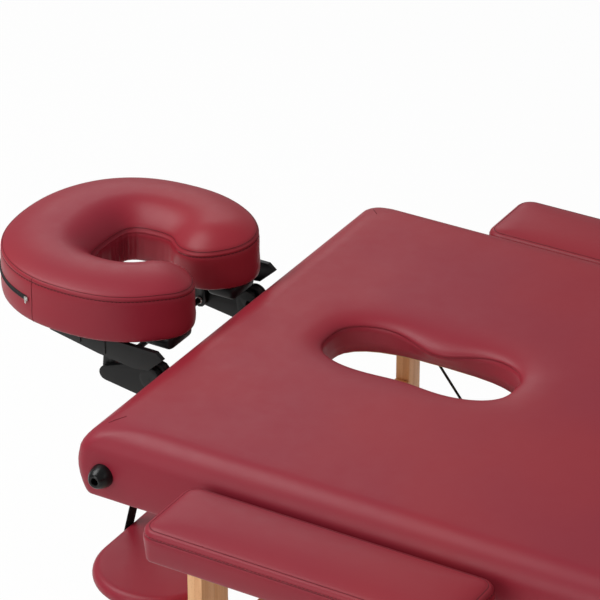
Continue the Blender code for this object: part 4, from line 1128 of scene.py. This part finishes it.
def makeBumpers():
    for end, (edge, way) in ends.items():
        for label, distance in (("end", bumper["fromEnd"]), ("middle", cover["length"] - bumper["fromEnd"])):
            place = (edge + way * distance, -halfWidth, tableTop - bumper["drop"])
            piece = turnPiece(f"{end}Bumper{label.title()}", bumperProfile, place, (0, -1, 0), around=48)
            keep(piece, f"{end}_section", gloss, [f"{end}_bumper_{label}"])


knob = {"deep": 0.018, "flute": 0.10, "boltRadius": 0.004, "boltEnd": 0.0032, "boltChamfer": 0.0006}
knobProfile = [(0.0004, 0.0088), (0.0038, 0.0090), (0.0058, 0.0114), (0.0068, 0.0120), (0.0150, 0.0120),
               (0.0168, 0.0113), (0.0177, 0.0096), (0.0180, 0.0070), (0.0176, 0.0050), (0.0176, 0.0005)]


def makeKnobs():
    for end in ends:
        for side, sign in sides.items():
            tag, body = f"{end}{side.title()}", f"{end}_{side}_knob"
            low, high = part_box(f"{end}_knob_{side}")
            inner, outer = (low.y, high.y) if sign > 0 else (high.y, low.y)
            outer -= sign * knob["deep"]
            x, z = (low.x + high.x) / 2, (low.z + high.z) / 2
            head = turnPiece(f"{tag}Knob", knobProfile, (x, outer, z), (0, sign, 0), around=64,
                             fluted=knob["flute"])
            keep(head, body, mouldedAbs, [f"{end}_knob_{side}"])
            shank = [(0, knob["boltEnd"]), (knob["boltChamfer"], knob["boltRadius"]),
                     (abs(outer - inner), knob["boltRadius"])]
            bolt = turnPiece(f"{tag}Bolt", shank, (x, inner, z), (0, sign, 0), around=24)
            keep(bolt, body, zinc)


handleEase = 0.0032


def makeHandles():
    for end in ends:
        dress(f"{end}Handle", f"{end}_handle", f"{end}_section", mouldedAbs,
              handleEase, segments=4)


hardware = {"screwRows": (-0.28, -0.168, -0.056, 0.056, 0.168, 0.28), "screwBack": 0.0159, "leafUp": 0.0056,
            "linkHalf": 0.008, "kneeInside": 0.0285}
screwProfile = [(-0.0004, 0.0036), (0.0004, 0.0036), (0.0009, 0.0031), (0.0012, 0.0022), (0.0013, 0.0012),
                (0.0006, 0.0010), (0.0006, 0.0002)]
kneeProfile = [(-0.0004, 0.0062), (0.0007, 0.0062), (0.0010, 0.0058), (0.0010, 0.0046), (0.0022, 0.0044),
               (0.0028, 0.0034), (0.0030, 0.0008)]


def makeHardware():
    for end, (edge, way) in ends.items():
        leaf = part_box(f"hinge_leaf_{end}")[0].z + hardware["leafUp"]
        x = edge + way * (cover["length"] - hardware["screwBack"])
        for k, y in enumerate(hardware["screwRows"]):
            screw = turnPiece(f"{end}HingeScrew{k + 1}", screwProfile, (x, y, leaf), (0, 0, -1), around=24)
            keep(screw, f"{end}_section", zinc)
        for side, sign in sides.items():
            low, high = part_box(f"{end}_upper_link_{side}")
            knee = low.x + hardware["linkHalf"] if way > 0 else high.x - hardware["linkHalf"]
            outer = high.y if sign > 0 else low.y
            place = (knee, outer - sign * hardware["kneeInside"], low.z + hardware["linkHalf"])
            bolt = turnPiece(f"{end}{side.title()}KneeBolt", kneeProfile, place, (0, -sign, 0), around=28)
            keep(bolt, f"{end}_lower_links", zinc)


makeBumpers()
makeKnobs()
makeHandles()
makeHardware()
print("bumpers, knobs, handles and screws made")


# brace cables

cable = {"radius": 0.00175, "around": 14, "along": 40, "ferrule": 1.55, "ferruleShare": 0.08, "smooth": 40,
         "tight": 0.5, "loose": 0.6}  # how many radii the ends lie inside the box


def makeCables():
    r, around, last = cable["radius"], cable["around"], cable["along"]
    tight, loose = r * cable["tight"], r * cable["loose"]
    for end, (_, way) in ends.items():
        for side, sign in sides.items():
            low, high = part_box(f"{end}_cable_{side}")
            nearX, farX = (low.x, high.x) if way > 0 else (high.x, low.x)
            lowY, topY = (low.y, high.y) if sign > 0 else (high.y, low.y)
            start = Vector((nearX + way * tight, topY - sign * r, high.z - loose))
            stop = Vector((farX - way * loose, lowY + sign * r, low.z + tight))
            along = (stop - start).normalized()
            points = []
            for k in range(last + 1):
                share = k / last
                crimped = min(share, 1 - share) < cable["ferruleShare"]  # a ferrule at each end
                radius = r * cable["ferrule"] if crimped else r
                points += cordPoints(start.lerp(stop, share), along, Vector((0, 1, 0)), radius, around)
            faces = ringFaces(0, last + 1, around)
            faces += [tuple(range(around)), tuple(range(len(points) - around, len(points)))]
            piece = meshPiece(f"{end}{side.title()}BraceCable", points, faces)
            outward(piece)
            smoothByAngle(piece, cable["smooth"])
            keep(piece, f"{end}_section", sleeve, [f"{end}_cable_{side}"])
            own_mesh(piece)


makeCables()
print("cables made")
